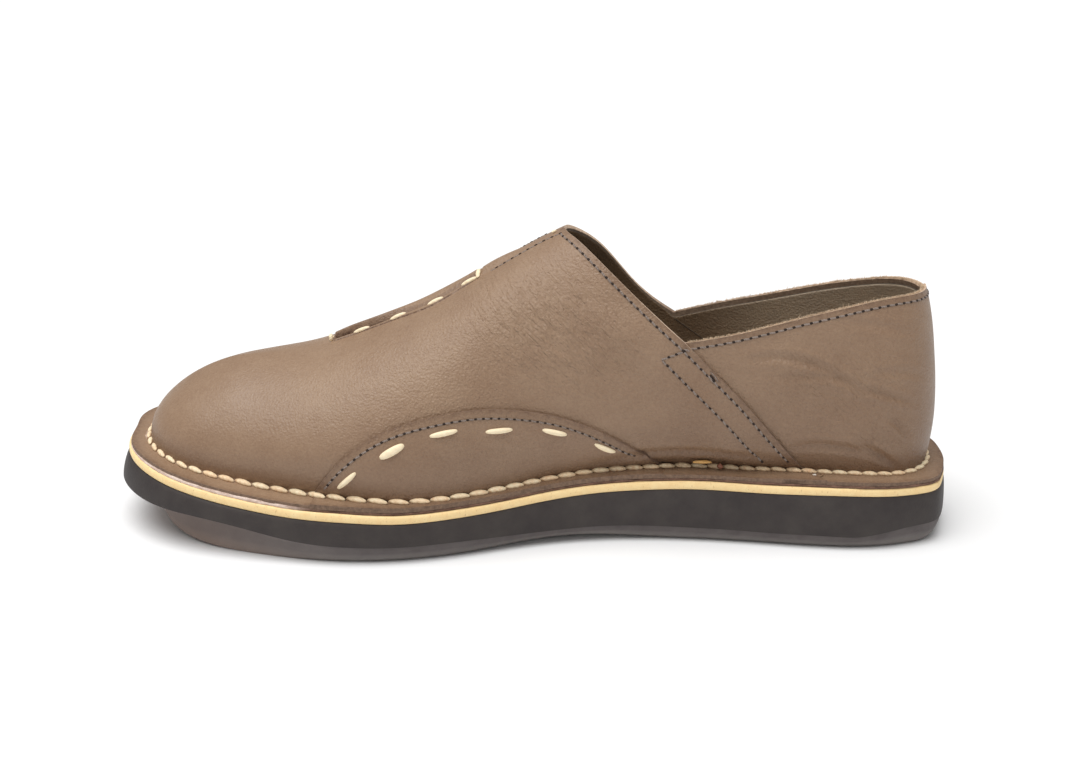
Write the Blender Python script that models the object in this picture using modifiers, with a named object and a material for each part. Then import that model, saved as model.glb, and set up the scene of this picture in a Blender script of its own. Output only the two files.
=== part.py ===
"""Slip-on shoe for the right foot, sewn flange to sole: outsole, midsole, insole and one hollow upper.

The heel is at +X and the toe at -X, the inner (medial) side at -Y and the outer (lateral) side at +Y.
The floor is z = 0. Tables and sizes are in millimetres, and a station is a distance from the heel end of
the sole. make_mesh turns millimetres into Blender's metres.
"""
import bpy
import numpy as np

MM = 0.001

# ---------------------------------------------------------------- driving sizes, in millimetres
HEEL_RUBBER = 19.6          # outsole thickness under the heel
BALL_RUBBER = 15.0          # outsole thickness under the ball of the foot
WEDGE_STATIONS = (70.0, 200.0)   # the outsole thins between these two stations
SPRING_START = 214.0        # the sole leaves the floor here
TOE_SPRING = 11.8           # how far the sole's top has lifted at the toe tip
TREAD_LIFT = 12.0           # how far its tread has lifted there, in a later and steeper curve
WAIST_STATION = 136.0       # middle of the shallow hollow under the waist
WAIST_SPAN = 40.0           # half its length
WAIST_RELIEF = 1.8          # its depth
MIDSOLE_THICKNESS = 2.3
LEATHER = 2.0               # wall of the upper
INSOLE_THICKNESS = 2.0
SEAM_GAP = 0.3              # between pieces that meet on a curved face
FLANGE_SEAT = 0.45          # between the midsole and the flange's own underside, which dips at the crease
FLANGE_INSET = 1.0          # the flange stops this far inside the midsole's edge
CREASE_RADIUS = 2.0         # where the wall turns out into the flange
TUCK_HEIGHT = 20.0          # the wall draws in to its crease below this height
VAMP_COLUMNS = 23           # columns of the upper per side: toe to peak,
THROAT_COLUMNS = 9          # peak to notch
QUARTER_COLUMNS = 12        # and notch to heel
SIDE_COLUMNS = VAMP_COLUMNS + THROAT_COLUMNS + QUARTER_COLUMNS
THROAT_CROWDING = 1.5       # columns stand closer together just behind the peak
WALL_ROWS = 15              # rows of the upper between its crease and its top
FOOT_TURN = 0.045           # where its wall leaves the crease, as a share of a section from crease to top
HALVINGS = 30               # steps that find where a column meets the collar's edge
EDGE_SAMPLES = 400          # points of a finely drawn edge
SHARP_ANGLE = 40.0          # degrees, above which shading keeps an edge


def table(names, *rows):
    """A short table: arrays by column name, in the order of the first column."""
    ordered = np.array(sorted(rows), float)
    return dict(zip(names.split(), ordered.T))


# ---------------------------------------------------------------- tables, in millimetres
# edge of the midsole, seen from above, from the toe tip to the heel end: station, distance from the axis
MEDIAL_EDGE = ((297.0, 6.0), (293.0, 24.0), (278.0, 40.0), (247.0, 50.0), (215.0, 54.0), (182.0, 49.0),
               (148.0, 36.0), (110.0, 29.5), (70.0, 31.0), (36.0, 33.0), (12.0, 26.0), (0.5, 0.0))
LATERAL_EDGE = ((297.0, -6.0), (289.0, 20.0), (262.0, 41.0), (225.0, 51.5), (190.0, 53.0), (150.0, 45.0),
                (110.0, 39.0), (70.0, 36.0), (35.0, 35.0), (11.0, 25.0), (0.5, 0.0))
TOE_TIP = MEDIAL_EDGE[0][0]

# the outsole's side wall, from its top to its tread: height as a share of its thickness, and how far it
# stands out past the midsole's edge from the heel to the ball, and at the toe tip
RUBBER_WALL = ((1.00, 0.0, 0.0), (0.74, 0.7, 1.6), (0.48, 0.9, 2.0), (0.30, 0.7, 0.8),
               (0.12, 0.1, -2.0), (0.00, -1.1, -5.0))

# width of the flange outside the upper's crease
FLANGE_WIDTH = table("station medial lateral",
                     (0.0, 6.9, 6.9), (32.0, 8.5, 7.6), (60.0, 9.9, 8.2), (105.0, 10.0, 8.8),
                     (135.0, 8.4, 8.5), (162.0, 6.7, 8.0), (185.0, 6.6, 7.8), (206.0, 8.4, 8.2),
                     (230.0, 10.2, 8.6), (262.0, 9.4, 8.8), (300.0, 9.0, 9.0))

# station of the axis point that each column of the upper leans to, by its share of the edge, toe to heel
AXIS_FAN = table("share station",
                 (0.00, 252.0), (0.10, 243.0), (0.20, 228.0), (0.35, 192.0), (0.50, 146.0),
                 (0.65, 100.0), (0.80, 66.0), (0.90, 52.0), (1.00, 44.0))

# the axis itself bends towards the lateral side at the waist and the medial side at the toe
AXIS_LINE = table("station across",
                  (0.0, 0.0), (60.0, 1.0), (120.0, 2.0), (180.0, -1.0), (250.0, -5.0), (300.0, -7.0))

# sections of the upper: height of the top over the flange, how far the medial and lateral walls stand out
# past the crease, and the squareness of the section, 2 for an ellipse
UPPER_FORM = table("station top medial lateral square",
                   (300.0, 19.5, 0.0, 0.0, 2.00), (275.0, 29.3, 1.2, 1.0, 2.00),
                   (250.0, 36.2, 3.0, 2.0, 2.05), (225.0, 42.5, 4.5, 2.5, 2.10),
                   (200.0, 52.3, 3.5, 2.5, 2.10), (170.0, 67.4, 4.0, 2.5, 2.10),
                   (142.0, 82.4, 7.0, 2.0, 2.20), (100.0, 91.0, 10.5, 2.0, 2.70),
                   (60.0, 91.0, 7.0, 1.5, 2.60), (0.0, 88.0, 1.3, 1.3, 2.40))

# height of the collar's edge over the floor: down along the vamp from the peak to a notch on each side,
# then up along the quarter to the heel
PEAK_STATION = 141.0
NOTCH_STATION = 98.5
VAMP_EDGE = table("station medial lateral",
                  (141.0, 105.6, 105.6), (137.0, 104.4, 102.8), (128.0, 98.5, 95.2),
                  (115.0, 88.2, 81.0), (98.5, 74.3, 66.3))
QUARTER_EDGE = table("station medial lateral",
                     (98.5, 74.3, 66.3), (82.0, 77.2, 71.4), (60.0, 82.2, 76.8), (42.0, 86.3, 80.9),
                     (28.0, 88.6, 84.0), (18.0, 88.6, 86.4), (12.5, 87.6, 87.6))

# colour and roughness
MATERIALS = {
    "black_rubber": ((0.022, 0.021, 0.021), 0.55),
    "tan_leather": ((0.86, 0.55, 0.27), 0.60),
    "brown_leather": ((0.20, 0.125, 0.08), 0.45),
    "insole_leather": ((0.30, 0.20, 0.11), 0.70),
}


# ---------------------------------------------------------------- curves
def spline(knots, values, where):
    """Natural cubic spline through rising knots, read at where; it runs on past its ends."""
    knots = np.asarray(knots, float)
    values = np.asarray(values, float)
    gaps = np.diff(knots)
    slopes = np.diff(values) / gaps
    count = len(knots)
    system = np.eye(count)
    right = np.zeros(count)
    for row in range(1, count - 1):
        system[row, row - 1:row + 2] = gaps[row - 1], 2 * (gaps[row - 1] + gaps[row]), gaps[row]
        right[row] = 6 * (slopes[row] - slopes[row - 1])
    bend = np.linalg.solve(system, right)
    where = np.asarray(where, float)
    at = np.clip(np.searchsorted(knots, where) - 1, 0, count - 2)
    gap = gaps[at]
    before = (knots[at + 1] - where) / gap
    after = (where - knots[at]) / gap
    return (before * values[at] + after * values[at + 1]
            + ((before ** 3 - before) * bend[at] + (after ** 3 - after) * bend[at + 1]) * gap ** 2 / 6)


def read(rows, name, where):
    """A named column of a table, read smoothly along the table's first column."""
    first = next(iter(rows))
    return spline(rows[first], rows[name], where)


def smoothstep(value):
    value = np.clip(value, 0.0, 1.0)
    return value * value * (3 - 2 * value)


# ---------------------------------------------------------------- heights along the shoe
def spring(station, lift, power):
    """Lift ahead of the ball, which reaches its full height at the toe tip."""
    ahead = np.clip((station - SPRING_START) / (TOE_TIP - SPRING_START), 0.0, None)
    return lift * ahead ** power


def rubber_top(station):
    first, last = WEDGE_STATIONS
    share = smoothstep((last - station) / (last - first))
    return BALL_RUBBER + (HEEL_RUBBER - BALL_RUBBER) * share + spring(station, TOE_SPRING, 2)


def rubber_bottom(station):
    waist = smoothstep(1.0 - np.abs(station - WAIST_STATION) / WAIST_SPAN)
    return spring(station, TREAD_LIFT, 4) + WAIST_RELIEF * waist


def midsole_top(station):
    return rubber_top(station) + SEAM_GAP + MIDSOLE_THICKNESS


def flange_top(station):
    return midsole_top(station) + FLANGE_SEAT + LEATHER


# ---------------------------------------------------------------- outlines seen from above
def edge_curve(rows, side):
    """Points (station, across) along one side, with the other side's neighbours to make both tips round."""
    opposite = LATERAL_EDGE if rows is MEDIAL_EDGE else MEDIAL_EDGE
    here = [(station, side * across) for station, across in rows]
    there = [(station, -side * across) for station, across in opposite]
    points = np.array([there[2], there[1]] + here + [there[-2], there[-3]], float)
    lengths = np.r_[0.0, np.cumsum(np.hypot(*np.diff(points, axis=0).T))]
    where = np.linspace(lengths[2], lengths[-3], EDGE_SAMPLES)
    return np.stack([spline(lengths, points[:, axis], where) for axis in (0, 1)], axis=1)


def side_points(rows, side, shares):
    curve = edge_curve(rows, side)
    lengths = np.r_[0.0, np.cumsum(np.hypot(*np.diff(curve, axis=0).T))]
    return np.stack([np.interp(shares * lengths[-1], lengths, curve[:, axis]) for axis in (0, 1)], axis=1)


def edge_shares():
    """Shares of a side from toe to heel, with one column exactly at the peak and one at the notch."""
    fine = np.linspace(0.0, 1.0, EDGE_SAMPLES)
    axis = read(AXIS_FAN, "station", fine)
    peak, notch = np.interp((-PEAK_STATION, -NOTCH_STATION), -axis, fine)
    vamp = np.linspace(0.0, peak, VAMP_COLUMNS + 1)
    throat = peak + (notch - peak) * np.linspace(0.0, 1.0, THROAT_COLUMNS + 1) ** THROAT_CROWDING
    quarter = np.linspace(notch, 1.0, QUARTER_COLUMNS + 1)
    return np.r_[vamp, throat[1:], quarter[1:]]


def outline_loop():
    """The midsole's edge as a closed loop: toe tip, medial side, heel end, lateral side."""
    shares = edge_shares()
    medial = side_points(MEDIAL_EDGE, -1, shares)
    lateral = side_points(LATERAL_EDGE, 1, shares)
    return np.vstack([medial, lateral[-2:0:-1]])


def offset_loop(loop, distance):
    """The loop moved outwards by a distance, or inwards where it is negative."""
    along = np.roll(loop, -1, axis=0) - np.roll(loop, 1, axis=0)
    along /= np.hypot(along[:, 0], along[:, 1])[:, None]
    outward = np.stack([along[:, 1], -along[:, 0]], axis=1)
    centre = np.array([loop[:, 0].mean(), loop[:, 1].mean()])
    if ((loop - centre) * outward).sum() < 0:
        outward = -outward
    return loop + outward * np.broadcast_to(distance, len(loop))[:, None]


LOOP = outline_loop()


def rubber_ring(heel, toe):
    """Outline of the outsole where it stands out by these amounts at the heel and at the toe tip."""
    return offset_loop(LOOP, np.interp(LOOP[:, 0], (SPRING_START, TOE_TIP), (heel, toe)))


WIDEST = np.vstack([rubber_ring(heel, toe) for _, heel, toe in RUBBER_WALL])
CENTRE = (WIDEST.min(axis=0) + WIDEST.max(axis=0)) / 2


def place(points):
    """Millimetres as (station, across, height) to the model's own axes."""
    points = np.asarray(points, float)
    return np.stack([CENTRE[0] - points[:, 0], points[:, 1] - CENTRE[1], points[:, 2]], axis=1)


# ---------------------------------------------------------------- the upper's form
def crease_loop():
    """Plan of the crease where the wall of the upper turns out into its flange."""
    medial = np.arange(len(LOOP)) <= SIDE_COLUMNS
    station = LOOP[:, 0]
    width = np.where(medial, read(FLANGE_WIDTH, "medial", station), read(FLANGE_WIDTH, "lateral", station))
    return offset_loop(LOOP, -width)


def axis_points():
    """Axis point (station, across) of each column of one side, toe to heel."""
    shares = edge_shares()
    station = read(AXIS_FAN, "station", shares)
    return np.stack([station, read(AXIS_LINE, "across", station)], axis=1)


def wall_point(crease, axis, side, turn):
    """A point of the upper's outer face. turn runs from 0 at the crease to 1 at the top of the section."""
    square = read(UPPER_FORM, "square", crease[0])
    angle = turn * np.pi / 2
    reach = np.cos(angle) ** (2 / square)
    rise = np.sin(angle) ** (2 / square)
    towards = crease - axis
    length = np.hypot(towards[0], towards[1])
    full = read(UPPER_FORM, side, crease[0])
    height = rise * read(UPPER_FORM, "top", axis[0] + towards[0] * reach)
    tuck = np.clip(1.0 - height / TUCK_HEIGHT, 0.0, 1.0) ** 2
    plan = axis + towards * (reach * (length + full) - full * tuck) / length
    return np.array([plan[0], plan[1], flange_top(plan[0]) + height])


def collar_height(station, side):
    """Height of the collar's edge over the floor at a station behind the peak."""
    edge = VAMP_EDGE if station > NOTCH_STATION else QUARTER_EDGE
    return read(edge, side, min(station, PEAK_STATION))


def collar_turn(crease, axis, side):
    """Where a column behind the peak meets the collar's edge, by halving."""
    low, high = FOOT_TURN, 1.0
    for _ in range(HALVINGS):
        middle = (low + high) / 2
        point = wall_point(crease, axis, side, middle)
        if point[2] < collar_height(point[0], side):
            low = middle
        else:
            high = middle
    return low


def upper_rows(crease, flange, axis, side, closed):
    """One column of the upper's outer face, from the flange's edge to the top line or the collar."""
    top = 1.0 if closed else collar_turn(crease, axis, side)
    outward = (flange - crease) / np.hypot(*(flange - crease))
    foot = crease + outward * CREASE_RADIUS
    rows = [np.r_[flange, flange_top(flange[0])], np.r_[foot, flange_top(foot[0])]]
    for turn in np.linspace(FOOT_TURN, top, WALL_ROWS):
        rows.append(wall_point(crease, axis, side, turn))
    return rows


# ---------------------------------------------------------------- making objects
def material(name):
    colour, roughness = MATERIALS[name]
    made = bpy.data.materials.new(name)
    made.use_nodes = True
    shader = made.node_tree.nodes["Principled BSDF"]
    shader.inputs["Base Color"].default_value = (*colour, 1.0)
    shader.inputs["Roughness"].default_value = roughness
    shader.inputs["Metallic"].default_value = 0.0
    made.diffuse_color = (*colour, 1.0)
    return made


def make_mesh(name, points, faces, material_name, collection):
    mesh = bpy.data.meshes.new(name)
    mesh.from_pydata([tuple(point) for point in place(points) * MM], [], faces)
    mesh.materials.append(material(material_name))
    made = bpy.data.objects.new(name, mesh)
    collection.objects.link(made)
    mesh.shade_smooth()
    mesh.set_sharp_from_angle(angle=np.radians(SHARP_ANGLE))
    return made


def ring_stack(rings):
    """Faces of a closed solid: equal rings joined upwards, its bottom and top closed across the shoe."""
    count = len(rings[0])
    points = np.vstack(rings)
    faces = []
    for level in range(len(rings) - 1):
        base = level * count
        for at in range(count):
            after = (at + 1) % count
            faces.append((base + at, base + after, base + count + after, base + count + at))
    last = (len(rings) - 1) * count
    for at in range(count // 2):
        mate = (count - at) % count
        near = [at, at + 1, count - at - 1, mate]
        near = list(dict.fromkeys(near))
        faces.append(tuple(reversed(near)))
        faces.append(tuple(last + corner for corner in near))
    return points, faces


def build_outsole(collection):
    """Black rubber: a wedge whose wall bulges past the midsole and rolls under to a flat tread."""
    rings = []
    for share, heel, toe in reversed(RUBBER_WALL):
        ring = rubber_ring(heel, toe)
        low = rubber_bottom(ring[:, 0])
        rings.append(np.c_[ring, low + (rubber_top(ring[:, 0]) - low) * share])
    points, faces = ring_stack(rings)
    return make_mesh("outsole", points, faces, "black_rubber", collection)


def build_midsole(collection):
    """Tan leather board on the rubber, cut flush all round."""
    rings = [np.c_[LOOP, midsole_top(LOOP[:, 0]) - MIDSOLE_THICKNESS], np.c_[LOOP, midsole_top(LOOP[:, 0])]]
    points, faces = ring_stack(rings)
    return make_mesh("midsole", points, faces, "tan_leather", collection)


def build_insole(collection):
    """Leather sock on the midsole, inside the foot of the upper's wall."""
    ring = offset_loop(crease_loop(), -(LEATHER + 2 * SEAM_GAP))
    low = midsole_top(ring[:, 0]) + SEAM_GAP
    points, faces = ring_stack([np.c_[ring, low], np.c_[ring, low + INSOLE_THICKNESS]])
    return make_mesh("insole", points, faces, "insole_leather", collection)


def build_upper(collection):
    """One hollow leather form: flange, wall and vamp as an open surface with Solidify, open at the collar."""
    crease = crease_loop()
    flange = offset_loop(LOOP, -FLANGE_INSET)
    axis = axis_points()
    count = len(LOOP)
    points = []
    index = []
    for at in range(count):
        side = "lateral" if at > SIDE_COLUMNS else "medial"
        mate = min(at, count - at)
        closed = mate <= VAMP_COLUMNS
        shared = closed and side == "lateral"
        rows = upper_rows(crease[at], flange[at], axis[mate], side, closed)
        if shared:
            rows = rows[:-1]
        index.append(list(range(len(points), len(points) + len(rows))))
        points.extend(rows)
        if shared:
            index[at].append(index[mate][-1])
    faces = []
    for at in range(count):
        after = (at + 1) % count
        for row in range(len(index[at]) - 1):
            corners = (index[at][row], index[after][row], index[after][row + 1], index[at][row + 1])
            faces.append(tuple(dict.fromkeys(corners)))
    made = make_mesh("upper", points, faces, "brown_leather", collection)
    wall = made.modifiers.new("wall", "SOLIDIFY")
    wall.thickness = LEATHER * MM
    wall.offset = -1.0
    wall.use_even_offset = True
    return made


def main():
    for old in list(bpy.data.objects):
        bpy.data.objects.remove(old)
    parts = bpy.data.collections.new("slip_on_shoe")
    bpy.context.scene.collection.children.link(parts)
    build_outsole(parts)
    build_midsole(parts)
    build_insole(parts)
    build_upper(parts)


main()
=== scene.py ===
"""Looks of the slip-on shoe: sewn leather upper, hand stitching, tan midsole edge and black rubber sole.

Tables and sizes are in millimetres, as in the part's own source: a station is a distance from the heel end
of the sole, and across is a distance from the sole's axis, plus towards the lateral side. place() turns them
into the frame's metres. A place on the upper is a side, a share of that side from toe to heel, and a girth,
which runs from -1 at the flange's edge over 0 at the foot of the wall to 1 at the top line or the collar.
"""

import bpy
import numpy as np
from mathutils import Matrix, Vector
from mathutils.bvhtree import BVHTree
from mathutils.kdtree import KDTree


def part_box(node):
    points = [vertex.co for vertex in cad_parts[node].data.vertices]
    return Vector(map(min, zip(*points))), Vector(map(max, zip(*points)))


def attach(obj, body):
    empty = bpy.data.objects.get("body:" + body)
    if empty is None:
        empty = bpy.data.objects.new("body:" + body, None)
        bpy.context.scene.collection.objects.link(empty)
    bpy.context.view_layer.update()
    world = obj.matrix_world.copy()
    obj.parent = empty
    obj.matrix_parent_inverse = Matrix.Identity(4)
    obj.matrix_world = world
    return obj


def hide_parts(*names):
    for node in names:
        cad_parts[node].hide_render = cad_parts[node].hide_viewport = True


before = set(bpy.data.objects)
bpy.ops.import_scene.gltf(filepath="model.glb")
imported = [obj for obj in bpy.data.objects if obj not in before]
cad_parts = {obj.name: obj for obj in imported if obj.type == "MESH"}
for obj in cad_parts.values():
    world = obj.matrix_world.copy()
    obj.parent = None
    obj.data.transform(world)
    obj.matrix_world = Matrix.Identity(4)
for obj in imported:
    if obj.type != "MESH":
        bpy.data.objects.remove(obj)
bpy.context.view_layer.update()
MM = 0.001
SIDES = ("medial", "lateral")

# ---------------------------------------------------------------- the form
# As in the part's source, but with the collar, the flange's edge and the sole's seam fitted further.
HEEL_RUBBER = 19.6
BALL_RUBBER = 15.0
WEDGE_STATIONS = (70.0, 200.0)
SPRING_START = 214.0
TOE_SPRING = 11.8
TREAD_LIFT = 12.0
WAIST_STATION = 136.0
WAIST_SPAN = 40.0
WAIST_RELIEF = 1.8
MIDSOLE_THICKNESS = 2.3
WALL = 2.0                  # thickness of the whole upper, leather and lining
SEAM_GAP = 0.3
FLANGE_SEAT = 0.45
FLANGE_INSET = 1.0          # of the flange's edge from the midsole's, along the sides
TIP_INSET = 0.25            # and round the heel and on the toe's lateral side
CREASE_RADIUS = 2.0
TUCK_HEIGHT = 20.0


def table(names, *rows):
    """A short table: arrays by column name, in the order of the first column."""
    ordered = np.array(sorted(rows), float)
    return dict(zip(names.split(), ordered.T))


MEDIAL_EDGE = ((297.0, 6.0), (293.0, 24.0), (278.0, 40.0), (247.0, 50.0), (215.0, 54.0), (182.0, 49.0),
               (148.0, 36.0), (110.0, 29.5), (70.0, 31.0), (36.0, 33.0), (12.0, 26.0), (0.5, 0.0))
LATERAL_EDGE = ((297.0, -6.0), (289.0, 20.0), (262.0, 41.0), (225.0, 51.5), (190.0, 53.0), (150.0, 45.0),
                (110.0, 39.0), (70.0, 36.0), (35.0, 35.0), (11.0, 25.0), (0.5, 0.0))
TOE_TIP = MEDIAL_EDGE[0][0]
FLANGE_WIDTH = table("station medial lateral",
                     (0.0, 6.9, 6.9), (32.0, 8.5, 7.6), (60.0, 9.9, 8.2), (105.0, 10.0, 8.8),
                     (135.0, 8.4, 8.5), (162.0, 6.7, 8.0), (185.0, 6.6, 7.8), (206.0, 8.4, 8.2),
                     (230.0, 10.2, 8.6), (262.0, 9.4, 8.8), (300.0, 9.0, 9.0))
AXIS_FAN = table("share station",
                 (0.00, 252.0), (0.10, 243.0), (0.20, 228.0), (0.35, 192.0), (0.50, 146.0),
                 (0.65, 100.0), (0.80, 66.0), (0.90, 52.0), (1.00, 44.0))
AXIS_LINE = table("station across",
                  (0.0, 0.0), (60.0, 1.0), (120.0, 2.0), (180.0, -1.0), (250.0, -5.0), (300.0, -7.0))
UPPER_FORM = table("station top medial lateral square",
                   (300.0, 19.5, 0.0, 0.0, 2.00), (275.0, 29.3, 1.2, 1.0, 2.00),
                   (250.0, 36.2, 3.0, 2.0, 2.05), (225.0, 42.5, 4.5, 2.5, 2.10),
                   (200.0, 52.3, 3.5, 2.5, 2.10), (170.0, 67.4, 4.0, 2.5, 2.10),
                   (142.0, 82.4, 7.0, 2.0, 2.20), (100.0, 91.0, 10.5, 2.0, 2.70),
                   (60.0, 91.0, 7.0, 1.5, 2.60), (0.0, 88.0, 1.3, 1.3, 2.40))
PEAK_STATION = 141.0
NOTCH_STATION = 98.5
VAMP_EDGE = table("station medial lateral",
                  (141.0, 105.6, 105.6), (137.0, 104.3, 102.8), (128.0, 98.2, 95.8),
                  (115.0, 87.0, 80.7), (106.5, 79.6, 72.6), (98.5, 72.8, 67.1))
# how much higher or lower than the CAD's the sole's seam runs, by station
SWAY = table("station rise",
             (0.0, 0.0), (20.0, 0.1), (40.0, 0.6), (56.0, 0.4), (71.0, 0.1), (92.0, 0.7), (110.0, 0.8),
             (127.0, 0.7), (145.0, -0.1), (161.0, -0.8), (178.0, -0.8), (196.0, -0.6), (213.0, 0.4),
             (230.0, 0.7), (247.0, 0.9), (265.0, 0.9), (283.0, 0.1), (300.0, -0.6))
SWAY_HEIGHT = 32.0          # over this height on the upper it fades
QUARTER_EDGE = table("station medial lateral",
                     (98.5, 72.8, 67.1), (82.0, 75.8, 71.8), (60.0, 81.4, 76.8), (42.0, 85.8, 80.9),
                     (28.0, 88.2, 84.0), (18.0, 88.2, 86.4), (12.5, 87.6, 87.6))

# ---------------------------------------------------------------- sizes of the looks
# the vamp's rear edge: share of the way up from the crease to the notch, and the station there
LAP = table("share station",
            (0.0, 54.0), (0.12, 58.4), (0.34, 67.7), (0.55, 76.6), (0.75, 86.2), (1.0, 98.5))
EDGE_SAMPLES = 6000         # points of a finely drawn edge
RING_STEP = 3               # the rings round the sole take every third point of the outlines
SHARES = np.linspace(0.0, 1.0, 1201)
GIRTHS = np.linspace(0.0, 1.0, 201)
HALVINGS = 30
TURN_STEPS = np.linspace(0.0, 1.0, 301) ** 1.7      # closer together near the wall's foot
LOCATE_ROUNDS = 12
LOCATE_HALVINGS = 22
FILLET = 0.3                # share of the flange's girth that bends up into the wall
FOOT_HEIGHT = 1.6           # where that bend ends, over the flange
LEATHER = 1.25              # outer leather of the upper
LAP_STATION = 54.0          # where the vamp's rear edge meets the crease
LAP_SWEEP = 6.5             # how much further back it runs on the flange
LAP_SQUARE = 0.77           # distance square to that edge, for each millimetre along the shoe
LAP_WIDTH = 13.0            # over this width the vamp lies raised on the quarter
LAP_FADE = 12.0             # over this length it comes down to its own level
HEM_WIDTH = 3.4             # raw inner side of the leather that shows above the lining
PEAK_TURN = 0.012           # share over which it turns from ahead at the peak to down the side
LINING_DROP = (0.5, 1.9)    # of the lining below the vamp's collar and below the quarter's
BEVEL_SEGMENTS = 3
BEVEL_ANGLE = 50.0          # degrees; edges sharper than this are rounded
SHARP_ANGLE = 60.0          # degrees; shading breaks at edges sharper than this
EDGE_FADE = 3.0             # over this length a cut edge's own tone fades
PAINTED_SHADE_HEIGHT = 9.0           # over this height the painted shade at the wall's foot fades


# ---------------------------------------------------------------- curves and arrays
def spline(knots, values, where):
    """Natural cubic spline through rising knots, read at where; it runs on past its ends."""
    knots = np.asarray(knots, float)
    values = np.asarray(values, float)
    gaps = np.diff(knots)
    slopes = np.diff(values) / gaps
    count = len(knots)
    system = np.eye(count)
    right = np.zeros(count)
    for row in range(1, count - 1):
        system[row, row - 1:row + 2] = gaps[row - 1], 2 * (gaps[row - 1] + gaps[row]), gaps[row]
        right[row] = 6 * (slopes[row] - slopes[row - 1])
    bend = np.linalg.solve(system, right)
    where = np.asarray(where, float)
    at = np.clip(np.searchsorted(knots, where) - 1, 0, count - 2)
    gap = gaps[at]
    before = (knots[at + 1] - where) / gap
    after = (where - knots[at]) / gap
    return (before * values[at] + after * values[at + 1]
            + ((before ** 3 - before) * bend[at] + (after ** 3 - after) * bend[at + 1]) * gap ** 2 / 6)


def read(rows, name, where):
    """A named column of a table, read smoothly along the table's first column."""
    first = next(iter(rows))
    return spline(rows[first], rows[name], where)


def smoothstep(value):
    value = np.clip(value, 0.0, 1.0)
    return value * value * (3 - 2 * value)


def unit(vectors):
    return vectors / np.maximum(np.linalg.norm(vectors, axis=-1, keepdims=True), 1e-9)


def lengths_along(points):
    """Distance of each point from the first, along the line through all of them."""
    return np.r_[0.0, np.cumsum(np.linalg.norm(np.diff(points, axis=0), axis=1))]


def along_line(points, distances):
    """Points at these distances along a line of points."""
    lengths = lengths_along(points)
    return np.stack([np.interp(distances, lengths, column) for column in points.T], axis=1)


def sample(curve, share):
    """Points of a curve that is drawn at SHARES."""
    return np.stack([np.interp(share, SHARES, column) for column in curve.T], axis=-1)


# ---------------------------------------------------------------- heights along the shoe
def past_ball(station):
    """0 where the sole leaves the floor, 1 at the toe's tip."""
    return (station - SPRING_START) / (TOE_TIP - SPRING_START)


def spring(station, lift, power):
    return lift * np.clip(past_ball(station), 0.0, None) ** power


def rubber_top(station):
    first, last = WEDGE_STATIONS
    share = smoothstep((last - station) / (last - first))
    wedge = BALL_RUBBER + (HEEL_RUBBER - BALL_RUBBER) * share
    return wedge + spring(station, TOE_SPRING, 2) + read(SWAY, "rise", station)


def rubber_bottom(station):
    waist = smoothstep(1.0 - np.abs(station - WAIST_STATION) / WAIST_SPAN)
    return spring(station, TREAD_LIFT, 4) + WAIST_RELIEF * waist


def midsole_top(station):
    return rubber_top(station) + SEAM_GAP + MIDSOLE_THICKNESS


def flange_top(station):
    return midsole_top(station) + FLANGE_SEAT + WALL


# ---------------------------------------------------------------- outlines seen from above
def side_curve(rows, side):
    """One side of the midsole's edge at SHARES, toe to heel, round at both tips."""
    opposite = LATERAL_EDGE if rows is MEDIAL_EDGE else MEDIAL_EDGE
    here = [(station, side * across) for station, across in rows]
    there = [(station, -side * across) for station, across in opposite]
    points = np.array([there[2], there[1]] + here + [there[-2], there[-3]], float)
    lengths = lengths_along(points)
    where = np.linspace(lengths[2], lengths[-3], EDGE_SAMPLES)
    curve = np.stack([spline(lengths, points[:, axis], where) for axis in (0, 1)], axis=1)
    return along_line(curve, SHARES * lengths_along(curve)[-1])


def offset_loop(loop, distance):
    """The loop moved outwards by a distance, or inwards where it is negative."""
    along = unit(np.roll(loop, -4, axis=0) - np.roll(loop, 4, axis=0))
    outward = np.stack([along[:, 1], -along[:, 0]], axis=1)
    if ((loop - loop.mean(axis=0)) * outward).sum() < 0:
        outward = -outward
    return loop + outward * np.broadcast_to(distance, len(loop))[:, None]


def both_sides(loop):
    """A loop cut into its two sides, each at SHARES from toe to heel."""
    last = len(SHARES)
    return {"medial": loop[:last], "lateral": np.vstack([loop[:1], loop[last - 1:][::-1]])}


def bell(station, across, middle, width):
    """1 at a place in plan, falling off within these widths along the shoe and across it."""
    return np.exp(-((station - middle[0]) / width[0]) ** 2 - ((across - middle[1]) / width[1]) ** 2)


def tip_trim(loop):
    """How far the hand-cut edge stands inside the CAD's: cut back round the toe, fuller at the heel."""
    station, across = loop[:, 0], loop[:, 1]
    toe = 0.9 * smoothstep((station - 254) / 34) * (1 - smoothstep((across + 2) / 18))
    toe += 1.2 * bell(station, across, (294, -9), (8, 9))
    return toe - 1.7 * bell(station, across, (8, -24), (7, 8)) - 1.7 * bell(station, across, (5, 12), (6, 8))


def flange_inset(loop):
    station, across = loop[:, 0], loop[:, 1]
    heel = smoothstep((70 - station) / 45)
    toe = smoothstep((station - 262) / 20) * smoothstep((across + 8) / 12)
    return FLANGE_INSET + (TIP_INSET - FLANGE_INSET) * np.maximum(heel, toe)


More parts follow.
